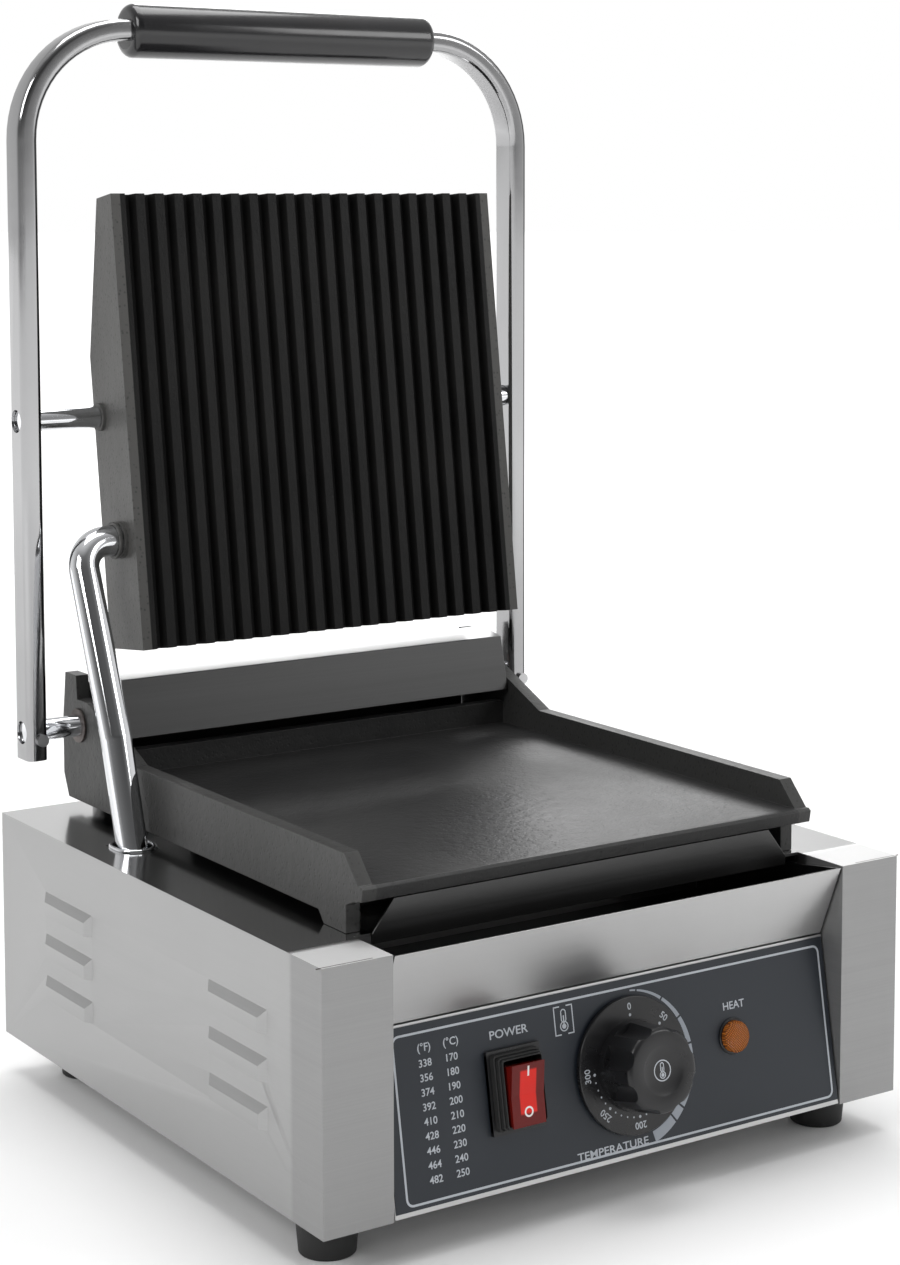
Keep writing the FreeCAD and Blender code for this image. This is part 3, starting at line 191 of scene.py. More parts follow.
def mixColour(tree, factor, first, second):
    node = tree.nodes.new("ShaderNodeMix")
    node.data_type = "RGBA"
    tree.links.new(factor, node.inputs["Factor"])
    for socket, value in ((node.inputs["A"], first), (node.inputs["B"], second)):
        if isinstance(value, tuple):
            socket.default_value = value
        else:
            tree.links.new(value, socket)
    return node.outputs["Result"]


def bumpNode(tree, height, strength, distance):
    node = tree.nodes.new("ShaderNodeBump")
    node.inputs["Strength"].default_value = strength
    node.inputs["Distance"].default_value = distance
    tree.links.new(height, node.inputs["Height"])
    return node.outputs["Normal"]


# fine lines along one direction, as left by a brushing belt
brushing, given, made = newGroup(
    "brushedLines",
    (("Vector", "NodeSocketVector", (0, 0, 0)), ("Across", "NodeSocketVector", (1, 1, 1)),
     ("Tone", "NodeSocketFloat", 0.5), ("Spread", "NodeSocketFloat", 0.1)),
    (("Colour", "NodeSocketColor"), ("Roughness", "NodeSocketFloat"), ("Height", "NodeSocketFloat")))
stretch = brushing.nodes.new("ShaderNodeVectorMath")
stretch.operation = "MULTIPLY"
brushing.links.new(given.outputs["Vector"], stretch.inputs[0])
brushing.links.new(given.outputs["Across"], stretch.inputs[1])
fineLines = noiseNode(brushing, stretch.outputs[0], 1.0, 4.0, 0.6)
broadLines = noiseNode(brushing, stretch.outputs[0], 0.12, 2.0, 0.5)
handled = noiseNode(brushing, given.outputs["Vector"], 9.0, 3.0, 0.6)
lineSum = mathNode(brushing, "ADD", mathNode(brushing, "MULTIPLY", fineLines, 0.6),
                   mathNode(brushing, "MULTIPLY", broadLines, 0.4))
lineTone = mathNode(brushing, "ADD", given.outputs["Tone"],
                    mathNode(brushing, "MULTIPLY", mathNode(brushing, "SUBTRACT", lineSum, 0.5),
                             given.outputs["Spread"]))
toneColour = brushing.nodes.new("ShaderNodeCombineColor")
for channel in toneColour.inputs[:3]:
    brushing.links.new(lineTone, channel)
brushing.links.new(toneColour.outputs[0], made.inputs["Colour"])
dulled = mathNode(brushing, "ADD", lineSum, mathNode(brushing, "MULTIPLY", handled, 0.5))
brushing.links.new(rangeNode(brushing, dulled, 0.4, 1.0, 0.26, 0.40), made.inputs["Roughness"])
brushing.links.new(lineSum, made.inputs["Height"])

# grains and pits of a sand casting, with stains from heat and oil
casting, given, made = newGroup(
    "castGrain",
    (("Vector", "NodeSocketVector", (0, 0, 0)), ("Grain", "NodeSocketFloat", 900.0),
     ("Stain", "NodeSocketFloat", 14.0)),
    (("Mask", "NodeSocketFloat"), ("Pits", "NodeSocketFloat"), ("Height", "NodeSocketFloat")))
stains = noiseNode(casting, given.outputs["Vector"], given.outputs["Stain"], 5.0, 0.6)
grains = noiseNode(casting, given.outputs["Vector"], given.outputs["Grain"], 3.0, 0.6)
lumps = noiseNode(casting, given.outputs["Vector"], 160.0, 3.0, 0.55)
pits = casting.nodes.new("ShaderNodeTexVoronoi")
pits.inputs["Scale"].default_value = 420.0
casting.links.new(given.outputs["Vector"], pits.inputs["Vector"])
pitDepth = rangeNode(casting, pits.outputs["Distance"], 0.05, 0.32, 0.0, 1.0)
casting.links.new(stains, made.inputs["Mask"])
casting.links.new(pitDepth, made.inputs["Pits"])
casting.links.new(mathNode(casting, "ADD", mathNode(casting, "MULTIPLY", grains, 0.5),
                           mathNode(casting, "ADD", mathNode(casting, "MULTIPLY", lumps, 0.8),
                                    mathNode(casting, "MULTIPLY", pitDepth, 0.25))), made.inputs["Height"])

# smears and dust that change the gloss of smooth parts
smearing, given, made = newGroup(
    "smears",
    (("Vector", "NodeSocketVector", (0, 0, 0)), ("Size", "NodeSocketFloat", 20.0),
     ("Low", "NodeSocketFloat", 0.2), ("High", "NodeSocketFloat", 0.3)),
    (("Mask", "NodeSocketFloat"), ("Roughness", "NodeSocketFloat"), ("Height", "NodeSocketFloat")))
smearNoise = noiseNode(smearing, given.outputs["Vector"], given.outputs["Size"], 5.0, 0.6)
speck = noiseNode(smearing, given.outputs["Vector"], 1600.0, 2.0, 0.5)
smearing.links.new(smearNoise, made.inputs["Mask"])
smearing.links.new(rangeNode(smearing, smearNoise, 0.3, 0.7, given.outputs["Low"], given.outputs["High"]),
                   made.inputs["Roughness"])
smearing.links.new(speck, made.inputs["Height"])


def newMaterial(name, colour, metallic=0.0, roughness=0.5):
    material = bpy.data.materials.new(name)
    material.use_nodes = True
    shader = material.node_tree.nodes["Principled BSDF"]
    shader.inputs["Base Color"].default_value = (*colour, 1)
    shader.inputs["Metallic"].default_value = metallic
    shader.inputs["Roughness"].default_value = roughness
    material.diffuse_color = (*colour, 1)
    place = material.node_tree.nodes.new("ShaderNodeTexCoord").outputs["Object"]
    return material, material.node_tree, shader, place


def placeGroup(tree, group, place, **values):
    node = tree.nodes.new("ShaderNodeGroup")
    node.node_tree = group
    tree.links.new(place, node.inputs["Vector"])
    for socketName, value in values.items():
        node.inputs[socketName].default_value = value
    return node


def facingMask(tree, axis, low, high):
    # 1 where a surface faces along the signed axis of the piece, fading out between the two limits
    split = tree.nodes.new("ShaderNodeSeparateXYZ")
    tree.links.new(tree.nodes.new("ShaderNodeTexCoord").outputs["Normal"], split.inputs[0])
    along = mathNode(tree, "MULTIPLY", split.outputs[axis[1]], -1.0 if axis[0] == "-" else 1.0)
    return rangeNode(tree, along, low, high, 0.0, 1.0)


def brushedSteel(name, across, tone=0.62, spread=0.12, facing=None, paintedLightTone=0.6, facingGloss=1.0,
                 dullBefore=None, dull=0.62):
    # brushed sheet; faces along one axis may be painted paler, as painted light, and be glossier, but for a
    # dull strip at the front
    material, tree, shader, place = newMaterial(name, (tone, tone, tone), 1.0, 0.32)
    lines = placeGroup(tree, brushing, place, Across=across, Tone=tone, Spread=spread)
    colour, roughness = lines.outputs["Colour"], lines.outputs["Roughness"]
    if facing:
        # painted light: faces along the axis get a paler tone than the rest of the same sheet
        mask = facingMask(tree, facing, 0.55, 0.85)
        paintedLightLines = placeGroup(tree, brushing, place, Across=across, Tone=paintedLightTone, Spread=spread)
        colour = mixColour(tree, mask, colour, paintedLightLines.outputs["Colour"])
        roughness = mathNode(tree, "MULTIPLY", roughness, rangeNode(tree, mask, 0.0, 1.0, 1.0, facingGloss))
        if dullBefore is not None:
            depth = tree.nodes.new("ShaderNodeSeparateXYZ")
            tree.links.new(place, depth.inputs[0])
            front = rangeNode(tree, depth.outputs["Y"], dullBefore - 3 * mm, dullBefore + 3 * mm, dull, 0.0)
            roughness = mathNode(tree, "MAXIMUM", roughness, front)
    tree.links.new(colour, shader.inputs["Base Color"])
    tree.links.new(roughness, shader.inputs["Roughness"])
    tree.links.new(bumpNode(tree, lines.outputs["Height"], 0.12, 0.0002), shader.inputs["Normal"])
    return material


def smoothFinish(name, colour, darker, metallic, low, high, size=25.0, bump=0.05, coat=0.0):
    material, tree, shader, place = newMaterial(name, colour, metallic, low)
    smear = placeGroup(tree, smearing, place, Size=size, Low=low, High=high)
    tone = mixColour(tree, smear.outputs["Mask"], (*colour, 1), (*darker, 1))
    tree.links.new(tone, shader.inputs["Base Color"])
    tree.links.new(smear.outputs["Roughness"], shader.inputs["Roughness"])
    tree.links.new(bumpNode(tree, smear.outputs["Height"], bump, 0.0001), shader.inputs["Normal"])
    shader.inputs["Coat Weight"].default_value = coat
    shader.inputs["Coat Roughness"].default_value = 0.12
    return material


def castFinish(name, dark, pale, low, high, grain=900.0, bump=0.45, stain=14.0, shine=0.3, sides=None):
    # a casting; sides may give the paler colours of its rough outer flanks and where along X they start
    material, tree, shader, place = newMaterial(name, dark, 0.0, low)
    cast = placeGroup(tree, casting, place, Grain=grain, Stain=stain)
    mask = rangeNode(tree, cast.outputs["Mask"], 0.35, 0.68, 0.0, 1.0)
    colour = mixColour(tree, mask, (*dark, 1), (*pale, 1))
    if sides:
        split = tree.nodes.new("ShaderNodeSeparateXYZ")
        tree.links.new(place, split.inputs[0])
        outward = mathNode(tree, "ABSOLUTE", split.outputs["X"])
        flank = rangeNode(tree, outward, sides[2] - 0.0002, sides[2] + 0.0002, 0.0, 1.0)
        rough = mixColour(tree, cast.outputs["Pits"], (*sides[0], 1), (*sides[1], 1))
        colour = mixColour(tree, flank, colour, rough)
    tree.links.new(colour, shader.inputs["Base Color"])
    tree.links.new(rangeNode(tree, cast.outputs["Mask"], 0.3, 0.7, low, high), shader.inputs["Roughness"])
    tree.links.new(bumpNode(tree, cast.outputs["Height"], bump, 0.0006), shader.inputs["Normal"])
    shader.inputs["Specular IOR Level"].default_value = shine
    return material


def barChrome(name):
    # polished flat bar: greyer than the tube, with a painted dark reflection on its inner front corner
    material, tree, shader, place = newMaterial(name, (0.5, 0.5, 0.51), 1.0, 0.12)
    wear = placeGroup(tree, smearing, place, Size=24.0, Low=0.07, High=0.15)
    plain = mixColour(tree, wear.outputs["Mask"], (0.33, 0.33, 0.335, 1), (0.42, 0.42, 0.425, 1))
    corner = mathNode(tree, "MULTIPLY", facingMask(tree, "+X", 0.25, 0.40),
                      mathNode(tree, "SUBTRACT", 1.0, facingMask(tree, "+X", 0.90, 0.97)))
    # painted reflection: faces turned between the side and the front of the bar get a near-black colour
    # (0.015)
    front = mathNode(tree, "MULTIPLY", corner, facingMask(tree, "-Y", 0.15, 0.30))
    tree.links.new(mixColour(tree, front, plain, (0.015, 0.015, 0.016, 1)), shader.inputs["Base Color"])
    tree.links.new(wear.outputs["Roughness"], shader.inputs["Roughness"])
    return material


finishes = {
    "barChrome": barChrome("barChrome"),
    # painted light and shade on one sheet: sides darkened to 0.38, top faces painted paler at 0.64
    "sidePaintedLightSteel": brushedSteel("sidePaintedLightSteel", (6.0, 6.0, 1400.0), 0.38, 0.07, "+Z", 0.64, 0.42, -0.112),
    "sheetSteel": brushedSteel("sheetSteel", (4.0, 900.0, 900.0), 0.55, 0.10),
    # painted shade: the tray's steel is near black (0.10) except its front face, painted paler (0.46)
    "trayPaintedShadeSteel": brushedSteel("trayPaintedShadeSteel", (4.0, 900.0, 900.0), 0.10, 0.05, "-Y", 0.46, 1.0),
    # painted shade: the splash plate's steel is near black (0.09), standing for the shade under the plate's
    # lip
    "splashPaintedShadeSteel": brushedSteel("splashPaintedShadeSteel", (4.0, 900.0, 900.0), 0.09, 0.03),
    # painted reflection: the covers' steel is near black (0.085), standing for the dark griddle it reflects;
    # tops painted paler (0.36) as painted light
    "coverPaintedReflectionSteel": brushedSteel("coverPaintedReflectionSteel", (5.0, 1100.0, 1100.0), 0.085, 0.03, "+Z", 0.36, 0.9),
    "chrome": smoothFinish("chrome", (0.78, 0.79, 0.81), (0.72, 0.73, 0.75), 1.0, 0.04, 0.11, 30.0, 0.02),
    "zinc": smoothFinish("zinc", (0.55, 0.55, 0.56), (0.46, 0.46, 0.46), 1.0, 0.22, 0.38, 80.0, 0.05),
    "castRib": castFinish("castRib", (0.005, 0.005, 0.005), (0.010, 0.0098, 0.0095), 0.34, 0.46, 1100.0,
                          0.35, 14.0, 0.16, ((0.040, 0.040, 0.040), (0.080, 0.079, 0.076), 0.0989)),
    "castDeck": castFinish("castDeck", (0.017, 0.017, 0.0172), (0.030, 0.030, 0.0295), 0.34, 0.50, 300.0,
                           0.5, 9.0, 0.34, ((0.022, 0.022, 0.022), (0.042, 0.042, 0.041), 0.1078)),
    "heater": smoothFinish("heater", (0.16, 0.14, 0.13), (0.08, 0.07, 0.07), 1.0, 0.4, 0.6, 90.0, 0.2),
    "rubber": smoothFinish("rubber", (0.012, 0.012, 0.012), (0.022, 0.022, 0.022), 0.0, 0.5, 0.7, 60.0, 0.3),
    "blackPlastic": smoothFinish("blackPlastic", (0.008, 0.008, 0.009), (0.013, 0.013, 0.014), 0.0, 0.24, 0.36,
                                 40.0, 0.12),
    "gripPlastic": smoothFinish("gripPlastic", (0.007, 0.007, 0.008), (0.012, 0.012, 0.013), 0.0, 0.16, 0.26,
                                30.0, 0.05, 0.3),
    "palePlastic": smoothFinish("palePlastic", (0.62, 0.60, 0.53), (0.54, 0.52, 0.46), 0.0, 0.4, 0.55,
                                50.0, 0.1),
    "film": smoothFinish("film", (0.012, 0.0165, 0.024), (0.015, 0.020, 0.028), 0.0, 0.38, 0.48, 18.0, 0.10),
    "print": smoothFinish("print", (0.52, 0.55, 0.59), (0.46, 0.49, 0.53), 0.0, 0.4, 0.5, 120.0, 0.05),
    "paleGrey": smoothFinish("paleGrey", (0.36, 0.39, 0.44), (0.32, 0.35, 0.39), 0.0, 0.4, 0.5, 120.0, 0.05),
    "wool": castFinish("wool", (0.56, 0.54, 0.47), (0.66, 0.64, 0.58), 0.9, 0.98, 500.0, 0.9),
}
finishOfSlot = {
    "brushed_sheet": "sheetSteel", "chrome": "chrome", "zinc": "zinc", "cast_iron": "castRib",
    "element_sheath": "heater", "black_rubber": "rubber", "black_plastic": "blackPlastic",
    "pale_plastic": "palePlastic", "printed_film": "film", "red_plastic": "film", "amber_plastic": "film",
    "mineral_wool": "wool",
}
for node, item in cadNodes.items():  # every carried-over node starts with its slot's finish
    item.data.materials.clear()
    item.data.materials.append(finishes[finishOfSlot[slotOfNode[node]]])
print("finishes ready:", len(finishes))


# making pieces

def finishPiece(name, mesh, body, material, replaced=()):
    item = bpy.data.objects.new(name, mesh)
    bpy.context.scene.collection.objects.link(item)
    mesh.materials.clear()
    mesh.materials.append(material)
    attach(item, body)
    if replaced:
        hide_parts(*replaced)
    return item


def meshFrom(work, name, smoothAngle=35):
    bmesh.ops.recalc_face_normals(work, faces=work.faces[:])
    mesh = bpy.data.meshes.new(name)
    work.to_mesh(mesh)
    work.free()
    for face in mesh.polygons:
        face.use_smooth = True
    mesh.set_sharp_from_angle(angle=math.radians(smoothAngle))
    return mesh


def roundEdges(item, width, segments, angle):
    rounding = item.modifiers.new("rounding", "BEVEL")
    rounding.width = width
    rounding.segments = segments
    rounding.limit_method = "ANGLE"
    rounding.angle_limit = math.radians(angle)
    rounding.harden_normals = True
    return rounding


def softened(node, name, material, edge, segments=3, angle=18):
    # a merged copy of a node, its sharp edges rounded as a fold or a casting has them
    work = bmesh.new()
    work.from_mesh(cadNodes[node].data)
    bmesh.ops.remove_doubles(work, verts=work.verts[:], dist=0.00001)
    bmesh.ops.dissolve_limit(work, angle_limit=math.radians(0.6), verts=work.verts[:], edges=work.edges[:])
    mesh = bpy.data.meshes.new(name)
    work.to_mesh(mesh)
    work.free()
    for face in mesh.polygons:
        face.use_smooth = True
    mesh.set_sharp_from_angle(angle=math.radians(angle))
    item = finishPiece(name, mesh, bodyOfNode[node], material, (node,))
    roundEdges(item, edge, segments, angle).miter_outer = "MITER_ARC"
    return item


def sweep(ring, corners, bend, steps=14):
    # a ring carried along straight runs joined by arcs, closed at both ends
    work = bmesh.new()
    verts = [work.verts.new(point) for point in ring]
    edges = [work.edges.new((verts[i], verts[(i + 1) % len(verts)])) for i in range(len(verts))]
    work.faces.new(verts)
    at = corners[0].copy()
    for index in range(1, len(corners)):
        here = corners[index]
        along = (here - corners[index - 1]).normalized()
        last = index == len(corners) - 1
        reach = 0.0
        if not last:
            after = (corners[index + 1] - here).normalized()
            turnAngle = along.angle(after)
            reach = bend * math.tan(turnAngle / 2)
        grown = bmesh.ops.extrude_edge_only(work, edges=edges)["geom"]
        verts = [g for g in grown if isinstance(g, bmesh.types.BMVert)]
        edges = [g for g in grown if isinstance(g, bmesh.types.BMEdge)]
        bmesh.ops.translate(work, verts=verts, vec=(here - along * reach) - at)
        at = here - along * reach
        if not last:
            axis = along.cross(after).normalized()
            centre = at + axis.cross(along) * bend
            spun = bmesh.ops.spin(work, geom=verts + edges, cent=centre, axis=axis, angle=turnAngle,
                                  steps=steps, use_duplicate=False)["geom_last"]
            verts = [g for g in spun if isinstance(g, bmesh.types.BMVert)]
            edges = [g for g in spun if isinstance(g, bmesh.types.BMEdge)]
            at = here + after * reach
    bmesh.ops.edgeloop_fill(work, edges=edges)
    bmesh.ops.remove_doubles(work, verts=work.verts[:], dist=0.000001)
    return work


def ringAround(centre, along, radius, count):
    side = along.orthogonal().normalized()
    other = along.cross(side)
    return [centre + (side * math.cos(i * math.tau / count) + other * math.sin(i * math.tau / count)) * radius
            for i in range(count)]


def roundedRing(width, tall, corner, steps):
    # the points of a rectangle with rounded corners, about the origin
    ring = bmesh.new()
    bmesh.ops.create_grid(ring, x_segments=1, y_segments=1, size=0.5)
    bmesh.ops.scale(ring, vec=(width, tall, 1), verts=ring.verts[:])
    bmesh.ops.bevel(ring, geom=ring.verts[:], offset=corner, segments=steps, profile=0.5, affect="VERTICES",
                    material=-1, offset_type="OFFSET")
    points = [loop.vert.co.copy() for loop in ring.faces[:][0].loops]
    ring.free()
    return points


def turned(profile, count=64):
    # a lathe piece about Z from (radius, height) points, in metres
    work = bmesh.new()
    verts = [work.verts.new((radius, 0, height)) for radius, height in profile]
    edges = [work.edges.new(pair) for pair in zip(verts[:-1], verts[1:])]
    bmesh.ops.spin(work, geom=verts + edges, cent=(0, 0, 0), axis=(0, 0, 1), angle=math.tau, steps=count,
                   use_merge=True, use_duplicate=False)
    bmesh.ops.remove_doubles(work, verts=work.verts[:], dist=0.000001)
    return work


def cutAway(item, cutters):
    # takes cutter meshes out of a piece and keeps the result as its mesh
    for work in cutters:
        cutterMesh = bpy.data.meshes.new("cutter")
        bmesh.ops.recalc_face_normals(work, faces=work.faces[:])
        work.to_mesh(cutterMesh)
        work.free()
        cutter = bpy.data.objects.new("cutter", cutterMesh)
        bpy.context.scene.collection.objects.link(cutter)
        taking = item.modifiers.new("taking", "BOOLEAN")
        taking.operation = "DIFFERENCE"
        taking.solver = "EXACT"
        taking.object = cutter
        bpy.context.view_layer.update()
        result = bpy.data.meshes.new_from_object(item.evaluated_get(bpy.context.evaluated_depsgraph_get()))
        item.modifiers.remove(taking)
        item.data = result
        bpy.data.objects.remove(cutter)
    item.data.set_sharp_from_angle(angle=math.radians(35))


def rodBetween(start, end, radius, count=48):
    along = (end - start).normalized()
    return sweep(ringAround(start, along, radius, count), [start, end], 0)


# body and castings keep their CAD shape with worn, rounded edges

roundings = {  # finish, edge radius in metres, segments
    "body_shell": ("sidePaintedLightSteel", 0.0009, 3),
    "drip_tray": ("trayPaintedShadeSteel", 0.0004, 2),
    "back_panel": ("sidePaintedLightSteel", 0.0003, 2),
    "bottom_plate": ("sheetSteel", 0.0003, 2),
    "control_panel": ("sheetSteel", 0.0003, 2),
    "splash_plate": ("splashPaintedShadeSteel", 0.0004, 2),
    "rear_cover": ("coverPaintedReflectionSteel", 0.0005, 3),
    "upper_cover": ("coverPaintedReflectionSteel", 0.0005, 3),
    "lower_griddle": ("castDeck", 0.0020, 4),
    "upper_griddle": ("castRib", 0.0007, 3),
    "feet": ("rubber", 0.0008, 3),
    "cross_pins": ("chrome", 0.0004, 2),
    "conduit_collar": ("castRib", 0.0004, 2),
    "shaft_bushes": ("heater", 0.0003, 2),
    "cord_gland": ("blackPlastic", 0.0006, 2),
    "terminal_block": ("palePlastic", 0.0006, 2),
    "thermostat_body": ("blackPlastic", 0.0008, 2),
    "insulation_mat": ("wool", 0.0015, 3),
}
for node, (finish, edge, segments) in roundings.items():
    softened(node, node + "Shape", finishes[finish], edge, segments)

seamSet = {
    "wide": 0.5 * mm,
    "deep": 0.3 * mm,
    "proud": 0.04 * mm,
    "cheek": 25.5 * mm,
    "inset": 0.6 * mm,
    "back": 1.2 * mm,  # from the front face
}
shellLow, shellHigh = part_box("body_shell")
seamWork = bmesh.new()
seamLong = seamSet["cheek"] - seamSet["inset"]
for start in (shellLow.x + seamSet["inset"], shellHigh.x - seamSet["cheek"]):
    middle = (start + seamLong / 2, shellLow.y + seamSet["back"],
              shellHigh.z - seamSet["deep"] / 2 + seamSet["proud"])
    bmesh.ops.create_cube(seamWork, size=1, matrix=Matrix.Translation(middle) @ Matrix.Diagonal(
        (seamLong, seamSet["wide"], seamSet["deep"], 1)))
finishPiece("cheekSeams", meshFrom(seamWork, "cheekSeams"), "body", finishes["heater"])
print("body and castings rounded")


# handle: one bent flat bar, with the shaft and the cross pins let into its arms

archSet = {
    "round": 3.2 * mm,
    "bend": 51 * mm,  # along the middle of the bar
    "shaftHole": 5.25 * mm,
    "pinHole": 5.2 * mm,
    "cornerSteps": 6,
}
archLow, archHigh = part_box("handle_arch")
shaftLow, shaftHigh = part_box("pivot_shaft")
pinLow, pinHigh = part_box("cross_pins")
barThick = 10 * mm
barDeep = archHigh.y - archLow.y
archMiddle = (archLow + archHigh) / 2
armTop = archHigh.z - barThick / 2
leftArm = Vector((archLow.x + barThick / 2, archMiddle.y, archLow.z))
rightArm = Vector((archHigh.x - barThick / 2, archMiddle.y, archLow.z))
archRoute = [leftArm, Vector((leftArm.x, leftArm.y, armTop)),
             Vector((rightArm.x, rightArm.y, armTop)), rightArm]
barOutline = roundedRing(barThick, barDeep, archSet["round"], archSet["cornerSteps"])
archRing = [leftArm + point for point in barOutline]
archWork = sweep(archRing, archRoute, archSet["bend"], 16)
arch = finishPiece("handleArch", meshFrom(archWork, "handleArch"), "handle", finishes["barChrome"],
                   ("handle_arch",))
shaftAt = Vector((0, (shaftLow.y + shaftHigh.y) / 2, (shaftLow.z + shaftHigh.z) / 2))
pinAt = Vector((0, (pinLow.y + pinHigh.y) / 2, (pinLow.z + pinHigh.z) / 2))
cutAway(arch, [rodBetween(at + Vector((-0.2, 0, 0)), at + Vector((0.2, 0, 0)), radius)
               for at, radius in ((shaftAt, archSet["shaftHole"]), (pinAt, archSet["pinHole"]))])
roundEdges(arch, 0.3 * mm, 2, 50)

shaftSet = {"chamfer": 0.7 * mm}
shaftRadius = (shaftHigh.z - shaftLow.z) / 2
shaftWork = rodBetween(Vector((shaftLow.x, shaftAt.y, shaftAt.z)),
                       Vector((shaftHigh.x, shaftAt.y, shaftAt.z)), shaftRadius, 64)
shaftEnds = [edge for edge in shaftWork.edges if abs(edge.verts[0].co.x - edge.verts[1].co.x) < 1e-6]
bmesh.ops.bevel(shaftWork, geom=shaftEnds, offset=shaftSet["chamfer"], segments=2, profile=0.5,
                affect="EDGES", material=-1, offset_type="OFFSET")
finishPiece("pivotShaft", meshFrom(shaftWork, "pivotShaft"), "handle", finishes["chrome"],
            ("pivot_shaft",))

gripSet = {"endRound": 4.0 * mm}
gripLow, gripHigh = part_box("grip")
gripRadius = (gripHigh.y - gripLow.y) / 2
gripHalf = (gripHigh.x - gripLow.x) / 2
gripProfile = [(0.0, -gripHalf), (gripRadius - gripSet["endRound"], -gripHalf)]
for step in range(1, 7):
    angle = math.radians(15 * step)
    gripProfile.append((gripRadius - gripSet["endRound"] * (1 - math.sin(angle)),
                        -gripHalf + gripSet["endRound"] * (1 - math.cos(angle))))
gripProfile += [(radius, -height) for radius, height in reversed(gripProfile)]
gripWork = turned(gripProfile, 96)
bmesh.ops.rotate(gripWork, verts=gripWork.verts[:], cent=(0, 0, 0),
                 matrix=Matrix.Rotation(math.pi / 2, 3, "Y"))
bmesh.ops.translate(gripWork, verts=gripWork.verts[:], vec=(gripLow + gripHigh) / 2)
finishPiece("gripSleeve", meshFrom(gripWork, "gripSleeve", 50), "handle",
            finishes["gripPlastic"], ("grip",))
print("handle done")

# conduit: a bent chromed tube from the upper griddle down into the body

conduitSet = {
    "radius": 7 * mm,
    "bend": 13 * mm,
    "route": [(-97.5, 112.44, 252.57), (-123.5, 112.44, 252.57), (-123.5, 77.41, 169.0),
              (-123.5, 60.57, 115.52)],
}
conduitRoute = [Vector(point) * mm for point in conduitSet["route"]]
conduitRing = ringAround(conduitRoute[0], Vector((-1, 0, 0)), conduitSet["radius"], 64)
conduitWork = sweep(conduitRing, conduitRoute, conduitSet["bend"], 14)
finishPiece("conduitTube", meshFrom(conduitWork, "conduitTube", 50), "conduit", finishes["chrome"],
            ("conduit_tube",))

rimSet = {"wire": 0.9 * mm, "play": 0.9 * mm, "edge": 2.2 * mm, "rise": 0.5 * mm}
slotLow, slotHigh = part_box("tube_grommet")
rimAt = (slotLow + slotHigh) / 2
rimReach = (slotHigh.y - slotLow.y) / 2 - conduitSet["radius"] - rimSet["play"] - rimSet["edge"]
rimWork = bmesh.new()
rimRadius = conduitSet["radius"] + rimSet["play"] + rimSet["wire"]
bmesh.ops.create_circle(rimWork, segments=16, radius=rimSet["wire"], matrix=Matrix.Translation(
    (rimRadius, 0, 0)) @ Matrix.Rotation(math.pi / 2, 4, "X"))
ends = rimWork.verts[:] + rimWork.edges[:]
for side in (1, -1):
    ends = bmesh.ops.spin(rimWork, geom=ends, cent=(0, 0, 0), axis=(0, 0, 1), angle=math.pi, steps=28,
                          use_duplicate=False)["geom_last"]
bmesh.ops.remove_doubles(rimWork, verts=rimWork.verts[:], dist=0.000002)
for vert in rimWork.verts:
    vert.co.y += math.copysign(rimReach, vert.co.y) if abs(vert.co.y) > 1e-7 else 0
bmesh.ops.translate(rimWork, verts=rimWork.verts[:], vec=(rimAt.x, rimAt.y, slotLow.z + rimSet["rise"]))
finishPiece("slotRim", meshFrom(rimWork, "slotRim", 60), "body", finishes["chrome"],
            ("tube_grommet",))
print("conduit done")

# the sloping panel: x along it, y up its slope, z out of it, all from its top edge

knobJoint = next(joint for joint in frame["record"]["behaviour"]["joints"] if joint["name"] == "knob_turn")
panelOut = Vector(knobJoint["axis"]).normalized()
panelUp = panelOut.cross(Vector((1, 0, 0)))
panelSet = {
    "knobX": 4.8,
    "knobDown": 36.3,
    "film": 0.4,  # the film's face, out from the panel
    "ink": 0.03 * mm,
}
knobAt = Vector(knobJoint["pos_m"])
panelPlace = Matrix((
    (1, panelUp.x, panelOut.x, 0),
    (0, panelUp.y, panelOut.y, knobAt.y + panelUp.y * panelSet["knobDown"] * mm),
    (0, panelUp.z, panelOut.z, knobAt.z + panelUp.z * panelSet["knobDown"] * mm),
    (0, 0, 0, 1)))


def onPanel(x, down, out, turn=0.0):
    spot = Matrix.Translation((x * mm, -down * mm, out * mm))
    return panelPlace @ spot @ Matrix.Rotation(math.radians(turn), 4, "Z")


def onDial(out, turn=0.0):
    return onPanel(panelSet["knobX"], panelSet["knobDown"], out, turn)


def thicken(work):
    grown = bmesh.ops.extrude_face_region(work, geom=work.faces[:])["geom"]
    bmesh.ops.translate(work, verts=[g for g in grown if isinstance(g, bmesh.types.BMVert)],
                        vec=(0, 0, panelSet["ink"]))
    return work


def keepOutline(work, line):
    inner = work.faces[:]
    bmesh.ops.inset_region(work, faces=inner, thickness=line * mm, use_even_offset=True, use_boundary=True)
    bmesh.ops.delete(work, geom=inner, context="FACES_ONLY")


def flatPlate(width, tall, corner=0.0, line=0.0):
    # a rounded rectangle, or only its outline when a line width is given
    work = bmesh.new()
    bmesh.ops.create_grid(work, x_segments=1, y_segments=1, size=0.5)
    bmesh.ops.scale(work, vec=(width * mm, tall * mm, 1), verts=work.verts[:])
    if corner:
        bmesh.ops.bevel(work, geom=work.verts[:], offset=corner * mm, segments=6, profile=0.5,
                        affect="VERTICES", material=-1, offset_type="OFFSET")
    if line:
        keepOutline(work, line)
    return thicken(work)


def flatDisc(radius, line=0.0, count=40):
    work = bmesh.new()
    bmesh.ops.create_circle(work, cap_ends=True, segments=count, radius=radius * mm)
    if line:
        keepOutline(work, line)
    return thicken(work)


